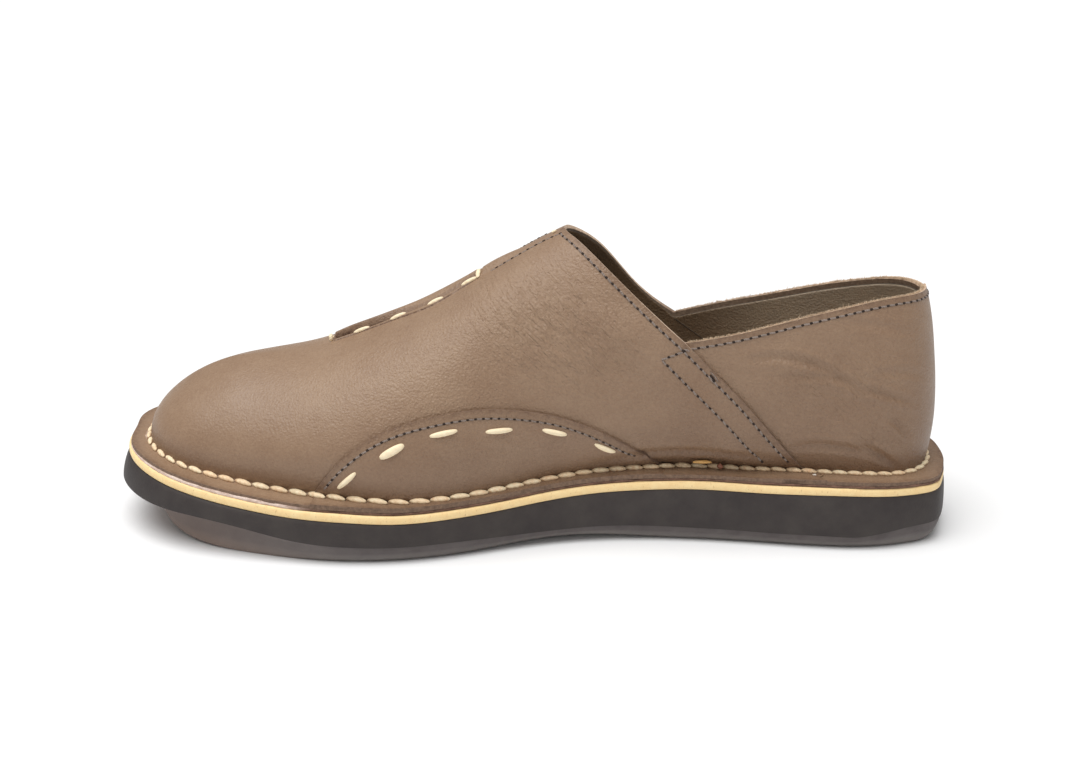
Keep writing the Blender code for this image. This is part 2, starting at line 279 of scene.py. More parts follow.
LOOP = np.vstack([side_curve(MEDIAL_EDGE, -1), side_curve(LATERAL_EDGE, 1)[-2:0:-1]])
ON_MEDIAL = np.arange(len(LOOP)) < len(SHARES)
FLANGE_EDGE = offset_loop(LOOP, -flange_inset(LOOP) - tip_trim(LOOP))
FLANGE = both_sides(FLANGE_EDGE)
CREASE_LOOP = offset_loop(LOOP, -np.where(ON_MEDIAL, read(FLANGE_WIDTH, "medial", LOOP[:, 0]),
                                          read(FLANGE_WIDTH, "lateral", LOOP[:, 0])))
CREASE = both_sides(CREASE_LOOP)
EDGE = both_sides(LOOP)
FAN_STATION = read(AXIS_FAN, "station", SHARES)
AXIS = np.stack([FAN_STATION, read(AXIS_LINE, "across", FAN_STATION)], axis=1)
PEAK_SHARE = np.interp(-PEAK_STATION, -FAN_STATION, SHARES)


def frame_origin():
    """Where station 0 on the axis lies in the frame, in millimetres, from the midsole's box."""
    low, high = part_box("midsole")
    middle = (LOOP.min(axis=0) + LOOP.max(axis=0)) / 2
    return (low.x + high.x) / 2 / MM + middle[0], (low.y + high.y) / 2 / MM - middle[1]


ORIGIN = frame_origin()


def place(points):
    """Millimetres as (station, across, height) to metres in the frame."""
    points = np.asarray(points, float)
    placed = np.stack([ORIGIN[0] - points[..., 0], points[..., 1] + ORIGIN[1], points[..., 2]], axis=-1)
    return placed * MM


# ---------------------------------------------------------------- the upper's outer face
def wall(side, share, turn):
    """The upper's outer face: turn runs from 0 at the crease to 1 at the top line."""
    crease = sample(CREASE[side], share)
    axis = sample(AXIS, share)
    square = read(UPPER_FORM, "square", crease[..., 0])
    angle = np.clip(turn, 0.0, 1.0) * np.pi / 2
    reach = np.clip(np.cos(angle), 0.0, 1.0) ** (2 / square)
    rise = np.sin(angle) ** (2 / square)
    towards = crease - axis
    length = np.linalg.norm(towards, axis=-1)
    full = read(UPPER_FORM, side, crease[..., 0])
    height = rise * read(UPPER_FORM, "top", axis[..., 0] + towards[..., 0] * reach)
    tuck = np.clip(1.0 - height / TUCK_HEIGHT, 0.0, 1.0) ** 2
    plan = axis + towards * ((reach * (length + full) - full * tuck) / length)[..., None]
    level = flange_top(plan[..., 0]) - read(SWAY, "rise", plan[..., 0]) * smoothstep(height / SWAY_HEIGHT)
    return np.concatenate([plan, (level + height)[..., None]], axis=-1)


def collar_height(station, side):
    station = np.clip(station, QUARTER_EDGE["station"][0], PEAK_STATION)
    vamp = read(VAMP_EDGE, side, station)
    quarter = read(QUARTER_EDGE, side, station)
    return np.where(station > NOTCH_STATION, vamp, quarter)


def top_turn(side):
    """Turn at which each share's column meets the top line or the collar's edge, by halving."""
    low = np.zeros(len(SHARES))
    high = np.ones(len(SHARES))
    for _ in range(HALVINGS):
        middle = (low + high) / 2
        point = wall(side, SHARES, middle)
        below = point[:, 2] < collar_height(point[:, 0], side)
        low = np.where(below, middle, low)
        high = np.where(below, high, middle)
    return np.where(SHARES <= PEAK_SHARE, 1.0, low)


def foot_turn(side):
    """Turn at which the wall stands FOOT_HEIGHT over the flange."""
    station = CREASE[side][:, 0]
    rise = FOOT_HEIGHT / read(UPPER_FORM, "top", station)
    return np.arcsin(rise ** (read(UPPER_FORM, "square", station) / 2)) * 2 / np.pi


def even_turns(side):
    """Turn at each share and girth, so that girth measures length along the wall; and that length."""
    foot = foot_turn(side)[:, None]
    turns = foot + (top_turn(side)[:, None] - foot) * TURN_STEPS
    points = wall(side, np.repeat(SHARES[:, None], len(TURN_STEPS), axis=1), turns)
    lengths = np.cumsum(np.linalg.norm(np.diff(points, axis=1), axis=2), axis=1)
    lengths = np.hstack([np.zeros((len(SHARES), 1)), lengths])
    even = [np.interp(GIRTHS * row[-1], row, turn) for row, turn in zip(lengths, turns)]
    return np.array(even), lengths[:, -1]


EVEN_TURNS = {}
WALL_LENGTH = {}
for one_side in SIDES:
    EVEN_TURNS[one_side], WALL_LENGTH[one_side] = even_turns(one_side)


def wall_length(side, share):
    """Length of the wall from its foot to the top line or the collar."""
    return np.interp(share, SHARES, WALL_LENGTH[side])


def sides_of(medial):
    """Each side's name and the places that lie on it."""
    return ("medial", medial), ("lateral", ~medial)


def turn_at(side, share, girth):
    """Turn read between the columns and rows of EVEN_TURNS."""
    turns = EVEN_TURNS[side]
    column = np.clip(share, 0.0, 1.0) * (len(SHARES) - 1)
    row = np.clip(girth, 0.0, 1.0) * (len(GIRTHS) - 1)
    left = np.clip(column.astype(int), 0, len(SHARES) - 2)
    below = np.clip(row.astype(int), 0, len(GIRTHS) - 2)
    over = column - left
    up = row - below
    lower = turns[left, below] * (1 - over) + turns[left + 1, below] * over
    upper = turns[left, below + 1] * (1 - over) + turns[left + 1, below + 1] * over
    return lower * (1 - up) + upper * up


def skin(side, share, girth):
    """Points of the upper's outer face with its flange and the soft bend between them."""
    share, girth = np.broadcast_arrays(np.asarray(share, float), np.asarray(girth, float))
    crease = sample(CREASE[side], share)
    edge = sample(FLANGE[side], share)
    foot = crease + unit(edge - crease) * CREASE_RADIUS
    start = wall(side, share, turn_at(side, share, np.zeros_like(share)))
    bend = np.clip(1 + girth / FILLET, 0.0, 1.0)[..., None]
    corner = np.concatenate([crease, flange_top(crease[..., 0])[..., None]], axis=-1)
    heel = np.concatenate([foot, flange_top(foot[..., 0])[..., None]], axis=-1)
    bent = (1 - bend) ** 2 * heel + 2 * bend * (1 - bend) * corner + bend ** 2 * start
    out = np.clip((girth + 1) / (1 - FILLET), 0.0, 1.0)[..., None]
    plan = edge * (1 - out) + foot * out
    flat = np.concatenate([plan, flange_top(plan[..., 0])[..., None]], axis=-1)
    upright = wall(side, share, turn_at(side, share, girth))
    where = girth[..., None]
    return np.where(where > 0, upright, np.where(where > -FILLET, bent, flat))


def locate(side, station, height):
    """Share and girth of the wall's points at these stations and heights."""
    station, height = np.broadcast_arrays(np.asarray(station, float), np.asarray(height, float))
    share = np.interp(-station, -EDGE[side][:, 0], SHARES)
    for _ in range(LOCATE_ROUNDS):
        low = np.zeros(share.shape)
        high = np.ones(share.shape)
        for _ in range(LOCATE_HALVINGS):
            middle = (low + high) / 2
            below = skin(side, share, middle)[..., 2] < height
            low = np.where(below, middle, low)
            high = np.where(below, high, middle)
        share = np.clip(share + (skin(side, share, low)[..., 0] - station) / TOE_TIP, 0.0, 1.0)
    return share, low


def lap_station(side, height, girth):
    """Station of the vamp's rear edge at a height on the wall, or at a girth on the flange."""
    foot = flange_top(LAP_STATION)
    notch = read(VAMP_EDGE, side, NOTCH_STATION)
    wall_part = read(LAP, "station", (height - foot) / (notch - foot))
    return np.where(girth > 0, wall_part, LAP_STATION + LAP_SWEEP * girth)


def lap_share(side, girth):
    """Share at which the vamp's rear edge lies, for each girth, by halving."""
    girth = np.asarray(girth, float)
    low = np.full(girth.shape, PEAK_SHARE)
    high = np.ones(girth.shape)
    for _ in range(HALVINGS):
        middle = (low + high) / 2
        point = skin(side, middle, girth)
        ahead = point[..., 0] > lap_station(side, point[..., 2], girth)
        low = np.where(ahead, middle, low)
        high = np.where(ahead, high, middle)
    return low


def lap_distance(side, points, girth):
    """How far ahead of the vamp's rear edge points lie, measured square to that edge on the wall."""
    ahead = points[..., 0] - lap_station(side, points[..., 2], girth)
    return np.where(girth > 0, ahead * LAP_SQUARE, ahead)


# ---------------------------------------------------------------- meshes
def orient(points, faces, middle):
    """The faces, turned so that their normals point away from the middle."""
    corners = points[faces]
    normals = np.cross(corners[:, 1] - corners[:, 0], corners[:, 2] - corners[:, 0])
    outward = ((corners.mean(axis=1) - middle) * normals).sum()
    return faces if outward > 0 else faces[:, ::-1]


def vertex_normals(points, faces):
    corners = points[faces]
    normals = np.cross(corners[:, 2] - corners[:, 0], corners[:, 3] - corners[:, 1])
    summed = np.zeros_like(points)
    for corner in range(4):
        np.add.at(summed, faces[:, corner], normals)
    return unit(summed)


def grid_faces(index):
    """Quads of a grid of vertex numbers."""
    return np.stack([index[:-1, :-1], index[1:, :-1], index[1:, 1:], index[:-1, 1:]], axis=-1).reshape(-1, 4)


def open_edges(faces):
    """The two ends of each edge that only one face has, in that face's direction."""
    start = faces.ravel()
    end = np.roll(faces, -1, axis=1).ravel()
    key = np.minimum(start, end) * (faces.max() + 1) + np.maximum(start, end)
    _, first, counts = np.unique(key, return_index=True, return_counts=True)
    once = first[counts == 1]
    return start[once], end[once]


def with_rim(points, faces, below, hem=None, hemmed=None):
    """Adds a wall from a net's open edges down to the places in below, and a hem further in where hemmed.

    Returns the points, the faces, each face's kind (0 for the net, 1 the wall, 2 the hem), and the rim.
    """
    start, end = open_edges(faces)
    rim = np.unique(np.r_[start, end])
    low_start = len(points) + np.searchsorted(rim, start)
    low_end = len(points) + np.searchsorted(rim, end)
    parts = [points, below[rim]]
    walls = [faces, np.stack([end, start, low_start, low_end], axis=1)]
    if hem is not None:
        both = hemmed[start] & hemmed[end]
        kept = np.unique(np.r_[start[both], end[both]])
        base = len(points) + len(rim)
        hem_start = base + np.searchsorted(kept, start[both])
        hem_end = base + np.searchsorted(kept, end[both])
        parts.append(hem[kept])
        walls.append(np.stack([low_end[both], low_start[both], hem_start, hem_end], axis=1))
    kind = np.repeat(np.arange(len(walls)), [len(part) for part in walls])
    return np.vstack(parts), np.vstack(walls), kind, rim


def make_object(name, points, faces, materials, face_material=None, attributes=None):
    """A smooth mesh object from millimetres. place() mirrors the points, so each face is reversed."""
    mesh = bpy.data.meshes.new(name)
    mesh.from_pydata(place(points).tolist(), [], [face[::-1] for face in faces])
    for one in materials:
        mesh.materials.append(one)
    if face_material is not None:
        mesh.polygons.foreach_set("material_index", np.asarray(face_material, np.int32))
    for key, values in (attributes or {}).items():
        layer = mesh.attributes.new(key, "FLOAT", "POINT")
        layer.data.foreach_set("value", np.asarray(values, np.float32))
    mesh.shade_smooth()
    made = bpy.data.objects.new(name, mesh)
    bpy.context.scene.collection.objects.link(made)
    return made


def finish_piece(made, slot, *nodes):
    """Rides the piece on the shoe and lets it stand for CAD nodes by hiding them; slot is not used."""
    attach(made, "root")
    if nodes:
        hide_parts(*nodes)


def round_edges(made, width):
    """Rounds the cut edges; the rounding shows the cut edge's own material, the second one."""
    bevel = made.modifiers.new("round", "BEVEL")
    bevel.material = 1
    bevel.width = width * MM
    bevel.segments = BEVEL_SEGMENTS
    bevel.limit_method = "ANGLE"
    bevel.angle_limit = np.radians(BEVEL_ANGLE)
    made.data.set_sharp_from_angle(angle=np.radians(SHARP_ANGLE))


# ---------------------------------------------------------------- leather sheets
FLANGE_ROWS = np.r_[np.linspace(-1.0, -FILLET, 13, endpoint=False),
                    np.linspace(-FILLET, 0.0, 8, endpoint=False)]
ROWS = np.r_[FLANGE_ROWS, np.linspace(0.0, 1.0, 122)]
VAMP_COLUMNS = 205          # columns from toe to peak, per side
THROAT_COLUMNS = 90         # from the peak to the rear edge
QUARTER_COLUMNS = 135       # from under the vamp to the heel
QUARTER_TUCK = 2.0          # of the quarter under the vamp at the collar; it is LAP_WIDTH more lower down
LINING_COLUMNS = 90
LINING_ROWS = 70
TOP_GIRTH = 0.999           # above this a vertex is on the top edge
MIDDLE = np.array([150.0, 0.0, 40.0])


class Sheet:
    """A net over the upper: each vertex's place on it, its point and normal, and the quads."""

    def __init__(self, medial, share, girth, index):
        faces = grid_faces(index)
        used, faces = np.unique(faces, return_inverse=True)
        self.medial = medial.ravel()[used]
        self.share = share.ravel()[used]
        self.girth = girth.ravel()[used]
        self.points = np.zeros((len(used), 3))
        for side, here in sides_of(self.medial):
            self.points[here] = skin(side, self.share[here], self.girth[here])
        self.faces = orient(self.points, faces.reshape(-1, 4), MIDDLE)
        self.normals = vertex_normals(self.points, self.faces)

    def by_side(self, function):
        """function(side, points, girth) at every vertex, each from its own side."""
        found = np.zeros(len(self.points))
        for side, here in sides_of(self.medial):
            found[here] = function(side, self.points[here], self.girth[here])
        return found

    def raised(self, lift):
        return self.points + self.normals * np.broadcast_to(lift, len(self.points))[:, None]


def collar_hem(sheet, depth):
    """Places a little way in from each vertex of a top edge and inside the leather, for the edge's raw side.

    They lie down the wall along the sides, and ahead at the peak, where the two sides meet.
    """
    ahead = 1 - smoothstep((sheet.share - PEAK_SHARE) / PEAK_TURN)
    station_rate = -np.interp(PEAK_SHARE, SHARES, np.gradient(FAN_STATION, SHARES))
    found = np.zeros_like(sheet.points)
    for side, here in sides_of(sheet.medial):
        share = sheet.share[here]
        down = HEM_WIDTH * np.sqrt(1 - ahead[here] ** 2) / wall_length(side, share)
        forward = HEM_WIDTH * ahead[here] / station_rate
        found[here] = skin(side, np.clip(share - forward, 0, 1), np.clip(sheet.girth[here] - down, -1, 1))
    return found - sheet.normals * depth


def vamp_sheet():
    """From the rear edge on the lateral side round the toe to the medial one, joined along the top line."""
    grids = []
    for side in ("lateral", "medial"):
        reach = lap_share(side, ROWS)
        top = np.r_[np.linspace(0.0, PEAK_SHARE, VAMP_COLUMNS, endpoint=False),
                    np.linspace(PEAK_SHARE, reach[-1], THROAT_COLUMNS)]
        grids.append(top[:, None] * (reach / reach[-1]))
    share = np.vstack([grids[0][:0:-1], grids[1]])
    tip = len(grids[0]) - 1
    medial = np.repeat(np.arange(len(share))[:, None] >= tip, len(ROWS), axis=1)
    index = np.arange(share.size).reshape(share.shape)
    joined = np.arange(1, VAMP_COLUMNS + 1)
    index[tip - joined, -1] = index[tip + joined, -1]
    return Sheet(medial, share, np.broadcast_to(ROWS, share.shape), index)


def quarter_sheet():
    """From under the vamp on the medial side round the heel to the lateral one."""
    grids = []
    for side in SIDES:
        tuck = LAP_WIDTH * smoothstep((1 - ROWS) / 0.2) + QUARTER_TUCK
        front = lap_share(side, ROWS) - tuck / lengths_along(EDGE[side])[-1]
        grids.append(front + (1 - front) * np.linspace(0.0, 1.0, QUARTER_COLUMNS)[:, None])
    share = np.vstack([grids[0], grids[1][-2::-1]])
    medial = np.repeat(np.arange(len(share))[:, None] < QUARTER_COLUMNS, len(ROWS), axis=1)
    index = np.arange(share.size).reshape(share.shape)
    return Sheet(medial, share, np.broadcast_to(ROWS, share.shape), index)


def lining_sheet():
    """All round the inside, joined along the top line, its free edge a little below the leather's."""
    one_side = np.r_[np.linspace(0.0, PEAK_SHARE, LINING_COLUMNS, endpoint=False),
                     np.linspace(PEAK_SHARE, 1.0, LINING_COLUMNS)]
    columns = np.r_[one_side, one_side[-2:0:-1]]
    on_medial = np.arange(len(columns)) < len(one_side)
    length = np.where(on_medial, wall_length("medial", columns), wall_length("lateral", columns))
    vamp_drop, quarter_drop = LINING_DROP
    reach = lap_share("medial", np.array([1.0]))[0]
    drop = vamp_drop + (quarter_drop - vamp_drop) * smoothstep((columns - reach + 0.01) / 0.02)
    drop = drop * smoothstep((columns - PEAK_SHARE) / 0.01)
    share, girth = np.meshgrid(columns, np.linspace(0.0, 1.0, LINING_ROWS), indexing="ij")
    girth = girth * (1 - drop / length)[:, None]
    medial = np.repeat(on_medial[:, None], share.shape[1], axis=1)
    index = np.arange(share.size).reshape(share.shape)
    joined = np.arange(1, LINING_COLUMNS + 1)
    index[len(columns) - joined, -1] = index[joined, -1]
    return Sheet(medial, share, girth, np.vstack([index, index[:1]]))


# ---------------------------------------------------------------- relief of the leather
# side, (station, height) at the start, middle and end of a crease, its depth and its half width
CREASES = (
    ("medial", (75.7, 67.3), (58.0, 67.0), (39.0, 57.4), 0.80, 1.5),
    ("medial", (66.0, 60.6), (53.0, 61.6), (40.0, 58.9), 0.50, 1.3),
    ("medial", (38.0, 57.0), (29.0, 55.4), (17.5, 51.0), 0.70, 1.3),
    ("medial", (34.0, 62.2), (23.0, 62.8), (11.5, 58.5), 0.35, 1.5),
    ("medial", (27.5, 47.2), (23.5, 43.8), (19.0, 38.5), 0.70, 1.2),
    ("medial", (59.5, 35.4), (43.0, 36.2), (24.0, 30.2), 0.80, 1.6),
    ("medial", (37.0, 38.6), (30.0, 33.8), (22.5, 28.0), 0.80, 1.4),
    ("medial", (46.0, 80.0), (33.0, 79.0), (21.0, 75.5), 0.30, 1.6),
    ("medial", (128.0, 28.6), (98.0, 32.8), (62.0, 30.4), 0.85, 1.8),
    ("medial", (166.0, 83.0), (160.0, 76.0), (152.0, 68.0), 0.22, 1.0),
    ("medial", (161.0, 85.0), (154.0, 76.5), (146.0, 70.0), 0.25, 1.0),
    ("medial", (154.0, 87.0), (148.0, 79.0), (139.0, 73.0), 0.22, 1.1),
    ("medial", (150.0, 78.0), (143.0, 71.0), (136.0, 66.5), 0.22, 1.0),
    ("lateral", (72.0, 61.0), (56.0, 62.0), (38.0, 54.0), 0.50, 1.6),
    ("lateral", (36.0, 58.0), (27.0, 55.0), (17.0, 50.0), 0.35, 1.4),
    ("lateral", (30.0, 44.0), (25.0, 40.0), (20.0, 35.0), 0.40, 1.3),
    ("lateral", (60.0, 34.5), (44.0, 35.0), (27.0, 30.5), 0.45, 1.8),
    ("lateral", (126.0, 29.0), (98.0, 31.5), (64.0, 29.5), 0.45, 2.4),
    ("lateral", (160.0, 80.0), (152.0, 72.0), (143.0, 66.0), 0.15, 1.2),
)
CREASE_STEPS = 24           # points of each crease's path
# slow waves in the leather: length along the shoe, length up it, phase, height
WAVES = ((61.0, 47.0, 0.4, 0.16), (37.0, 71.0, 2.1, 0.13), (23.0, 29.0, 4.0, 0.06), (17.0, 53.0, 1.2, 0.05))


def through_three(start, middle, end, count):
    """Points along the parabola that runs through three points."""
    step = np.linspace(0.0, 1.0, count)[:, None]
    start, middle, end = (np.array(point) for point in (start, middle, end))
    return (start * (1 - step) * (1 - 2 * step)
            + middle * 4 * step * (1 - step)
            + end * step * (2 * step - 1))


CREASE_PATHS = []
for crease_side, *three, crease_depth, crease_width in CREASES:
    places = through_three(*three, CREASE_STEPS)
    CREASE_PATHS.append((crease_side, skin(crease_side, *locate(crease_side, places[:, 0], places[:, 1])),
                         crease_depth, crease_width))


def crease_relief(side, points, _):
    """Soft troughs with a low ridge on either side, fading at both ends."""
    relief = np.zeros(len(points))
    for own_side, path, depth, width in CREASE_PATHS:
        if own_side != side:
            continue
        reach = 4 * width
        near = np.all((points > path.min(axis=0) - reach) & (points < path.max(axis=0) + reach), axis=1)
        gaps = np.linalg.norm(points[near][:, None] - path[None], axis=2)
        closest = gaps.argmin(axis=1)
        gap = gaps.min(axis=1) / width
        taper = np.sin(np.pi * np.clip((closest + 1) / (len(path) + 1), 0, 1)) ** 0.7
        trough = -np.exp(-gap ** 2) + 0.45 * np.exp(-((gap - 1.8) / 0.9) ** 2)
        relief[near] += depth * taper * trough
    return relief


def wave_relief(points):
    relief = np.zeros(len(points))
    for along, up, phase, height in WAVES:
        relief += height * np.sin(points[:, 0] * 2 * np.pi / along + phase) * np.sin(
            points[:, 2] * 2 * np.pi / up + 1.7 * phase + points[:, 1] / 30)
    return relief


def leather_relief(sheet):
    """Creases, slow waves that stop at the flange and at the top line, and the heel's straighter top."""
    on_wall = smoothstep(sheet.girth / 0.15)
    across = smoothstep(np.abs(sheet.points[:, 1]) / 12)
    heel = 0.8 * smoothstep((sheet.points[:, 2] - 62) / 24) * smoothstep((34 - sheet.points[:, 0]) / 20)
    waves = wave_relief(sheet.points) * on_wall * np.maximum(across, heel)
    return sheet.by_side(crease_relief) + waves + heel


def lap_lift(side, points, girth):
    """How far the vamp stands up over the quarter that it laps."""
    ahead = lap_distance(side, points, girth)
    notch = read(VAMP_EDGE, side, NOTCH_STATION)
    level = 1 - smoothstep((ahead - LAP_WIDTH) / LAP_FADE)
    pressed = 0.35 + 0.65 * smoothstep(girth / 0.12)
    return (LEATHER + 0.05) * level * pressed * (1 - smoothstep((points[..., 2] - notch) / 14))


# ---------------------------------------------------------------- leather pieces
def add_vamp(materials):
    sheet = vamp_sheet()
    lift = sheet.by_side(lap_lift) + leather_relief(sheet)
    top = sheet.raised(lift)
    ahead = sheet.by_side(lap_distance)
    over_quarter = (ahead < 0.5) & (sheet.girth < TOP_GIRTH)
    below = sheet.raised(np.where(over_quarter, -0.05, -LEATHER))
    hem = collar_hem(sheet, LEATHER)
    points, faces, own, rim = with_rim(top, sheet.faces, below, hem, sheet.girth > TOP_GIRTH)
    made = make_object("vamp", points, faces.tolist(), materials, own, leather_layers(points, rim))
    round_edges(made, 0.75)
    finish_piece(made, "brown_leather", "upper")
    return top, sheet.faces


def add_quarter(materials):
    sheet = quarter_sheet()
    top = sheet.raised(leather_relief(sheet))
    hem = collar_hem(sheet, LEATHER)
    points, faces, own, rim = with_rim(top, sheet.faces, sheet.raised(-LEATHER), hem, sheet.girth > TOP_GIRTH)
    made = make_object("quarter", points, faces.tolist(), materials, own, leather_layers(points, rim))
    round_edges(made, 0.65)
    finish_piece(made, "brown_leather")
    return top, sheet.faces


def add_lining(materials):
    """The inside face, its own edge a little below the leather's."""
    sheet = lining_sheet()
    inner = sheet.raised(-WALL)
    foot = sheet.girth < 0.001
    inner[foot, 2] -= 2.5
    outer = sheet.raised(-LEATHER - 0.05)
    points, faces, own, _ = with_rim(inner, sheet.faces[:, ::-1], outer)
    # painted shade: the lining grows darker deeper inside, towards the toe
    shade = {"shade": 2.75 * smoothstep((points[:, 0] - 50) / 45)}
    made = make_object("lining", points, faces.tolist(), materials, own, shade)
    finish_piece(made, "lining_leather")


# where fine wrinkles show, over the instep and round the heel: station, height, reach along and up, weight
WRINKLES = ((152, 78, 19, 16, 1.0), (130, 70, 18, 18, 0.9), (45, 60, 26, 12, 0.8), (30, 38, 16, 9, 0.6))


def wrinkle_weight(points):
    found = np.zeros(len(points))
    for station, height, along, up, weight in WRINKLES:
        ahead = (points[:, 0] - station) / along
        above = (points[:, 2] - height) / up
        found += weight * np.exp(-ahead ** 2 - above ** 2)
    return np.clip(found, 0, 1)


def leather_layers(points, rim):
    """Where the leather shows wrinkles, a cut edge, and painted shade at the wall's foot and towards the
    heel.
    """
    above = points[:, 2] - flange_top(points[:, 0])
    # painted shade: darker at the foot of the wall and towards the heel, only a little of it on the flange
    foot = 0.5 * (1 - smoothstep((above - 0.5) / PAINTED_SHADE_HEIGHT)) + 0.6 * (1 - smoothstep((above - 6) / 40))
    rear = 0.4 * smoothstep((150 - points[:, 0]) / 70)
    return {"wrinkle": wrinkle_weight(points), "edge": edge_weight(points, rim),
            "shade": (foot + rear) * (0.15 + 0.85 * smoothstep(above / 1.5))}


def edge_weight(points, rim):
    """1 at a piece's cut edge, fading over a few millimetres."""
    tree = KDTree(len(rim))
    for at, number in enumerate(rim):
        tree.insert(points[number], at)
    tree.balance()
    gaps = np.array([tree.find(point)[2] for point in points])
    return 1 - smoothstep(gaps / EDGE_FADE)


# ---------------------------------------------------------------- patch, ridge and rand
# upper edge of the patch on the medial side, on the wall
PATCH_EDGE = table("station height",
                   (223.4, 22.6), (219.6, 28.4), (213.2, 35.6), (204.5, 42.1), (195.0, 46.4), (183.0, 49.4),
                   (169.5, 50.8), (156.0, 49.7), (141.0, 46.6), (127.0, 41.3), (119.5, 37.3), (112.3, 32.8),
                   (106.8, 28.3), (104.3, 25.4))
PATCH_LIFT = (0.5, 1.2)     # of the patch on the flange and on the wall
PATCH_RIM = 1.3             # thickness of its cut edge
PATCH_COLUMNS = 330
PATCH_ROWS = 75
PATCH_SAMPLES = 400         # points of its upper edge
RIDGE_REACH = (-9.0, 5.2)   # how far its strip runs down either side
RIDGE_STATIONS = (222.4, 168.0)     # where its lips start and end
RIDGE_LEAD = 26.0           # from the axis's toe end to the front of the strip
RIDGE_COLUMNS = 420
RIDGE_ROWS = 103
# heights of the ridge's two lips, how far across the fold between them lies, and the near lip's width
RIDGE = table("station near far fold width",
              (168.0, 0.4, 1.9, -2.2, 1.5), (173.0, 0.45, 1.8, -3.0, 1.8), (179.0, 0.45, 1.8, -4.2, 2.2),
              (185.0, 0.5, 1.8, -4.9, 2.5), (191.0, 0.5, 1.9, -4.0, 2.3), (198.0, 0.5, 2.3, -2.5, 1.9),
              (208.0, 0.5, 2.8, -1.3, 1.5), (215.0, 0.5, 2.9, -0.8, 1.4), (222.4, 0.4, 2.1, -0.6, 1.2))
# height of the doubled seam behind the ridge
SEAM = table("station height",
             (140.0, 0.0), (145.0, 0.0), (151.0, 0.05), (158.0, 1.0), (164.0, 1.6), (170.0, 1.4))


def patch_line():
    """Share and girth along the patch's upper edge, from the toe's end of it."""
    ends = PATCH_EDGE["station"]
    station = np.linspace(ends[-1], ends[0], PATCH_SAMPLES)
    height = spline(ends, PATCH_EDGE["height"], station)
    share, girth = locate("medial", station, np.maximum(height, flange_top(station) + FOOT_HEIGHT))
    return share, np.clip(girth, 0.001, 1.0)


def patch_sheet():
    line_share, line_girth = patch_line()
    share = np.linspace(line_share[0], line_share[-1], PATCH_COLUMNS)
    reach = np.interp(share, line_share, line_girth)
    rows = np.r_[FLANGE_ROWS, np.linspace(0.0, 1.0, PATCH_ROWS)]
    girth = np.where(rows > 0, rows * reach[:, None], rows)
    columns = np.broadcast_to(share[:, None], girth.shape)
    index = np.arange(girth.size).reshape(girth.shape)
    return Sheet(np.ones(girth.shape, bool), columns, girth, index)


def add_patch(materials):
    """An oval of the same leather sewn on the medial side, its lower part carried out over the flange."""
    sheet = patch_sheet()
    low, high = PATCH_LIFT
    lift = low + (high - low) * smoothstep((sheet.girth + FILLET) / FILLET) + leather_relief(sheet)
    top = sheet.raised(lift)
    points, faces, own, rim = with_rim(top, sheet.faces, sheet.raised(lift - PATCH_RIM))
    made = make_object("patch", points, faces.tolist(), materials, own, leather_layers(points, rim))
    round_edges(made, 0.45)
    finish_piece(made, "brown_leather")
    return top, sheet.faces


def on_spine(station, across):
    """Points of the wall and their normals, this far from the top line and to one side of it."""
    share = np.interp(-station, -FAN_STATION, SHARES)
    found = np.zeros(station.shape + (3,))
    for side, here in sides_of(across <= 0):
        length = wall_length(side, share[here])
        found[here] = skin(side, share[here], 1 - np.abs(across[here]) / length)
    along = np.gradient(found, axis=0)
    sideways = np.gradient(found, axis=1)
    return found, unit(np.cross(sideways, along))


def ridge_height(station, across):
    """A low lip, a standing lip behind it, and a broad doubled seam from there on to the peak."""
    first, last = RIDGE_STATIONS
    full = smoothstep((first - station) / 2.5) * smoothstep((station - last) / 2.0)
    fold = read(RIDGE, "fold", station)
    width = read(RIDGE, "width", station)
    standing = smoothstep((across - fold) / (0.1 - fold)) ** 0.7 * (1 - smoothstep((across - 1.1) / 0.7))
    lying = smoothstep((across - fold + width) / 0.3) * (1 - smoothstep((across - fold + 0.1) / 0.3))
    lips = read(RIDGE, "far", station) * standing + read(RIDGE, "near", station) * lying
    lips -= 0.5 * np.exp(-((across - fold) / 0.2) ** 2) + 0.2 * np.exp(-((across - fold + 0.9) / 0.12) ** 2)
    seam = read(SEAM, "height", np.minimum(station, last)) * (1 - smoothstep((np.abs(across) - 1.2) / 3.2))
    seam -= 0.25 * np.exp(-(across / 0.3) ** 2)
    seam *= smoothstep((last + 2.0 - station) / 2.5)
    inside = np.minimum(across - RIDGE_REACH[0], RIDGE_REACH[1] - across)
    foot = 0.05 - 0.3 * smoothstep(1.0 - inside / 0.6)
    narrow = smoothstep((fold - width - 0.2 - across) / 0.5) + smoothstep((across - 1.9) / 0.5)
    narrow = 0.3 * narrow * smoothstep((station - last) / 2.5)
    narrow += 0.3 * smoothstep((-4.8 - across) / 0.5) * smoothstep((last - station) / 2.5)
    return np.maximum(lips * full, -0.4) + seam + foot - narrow


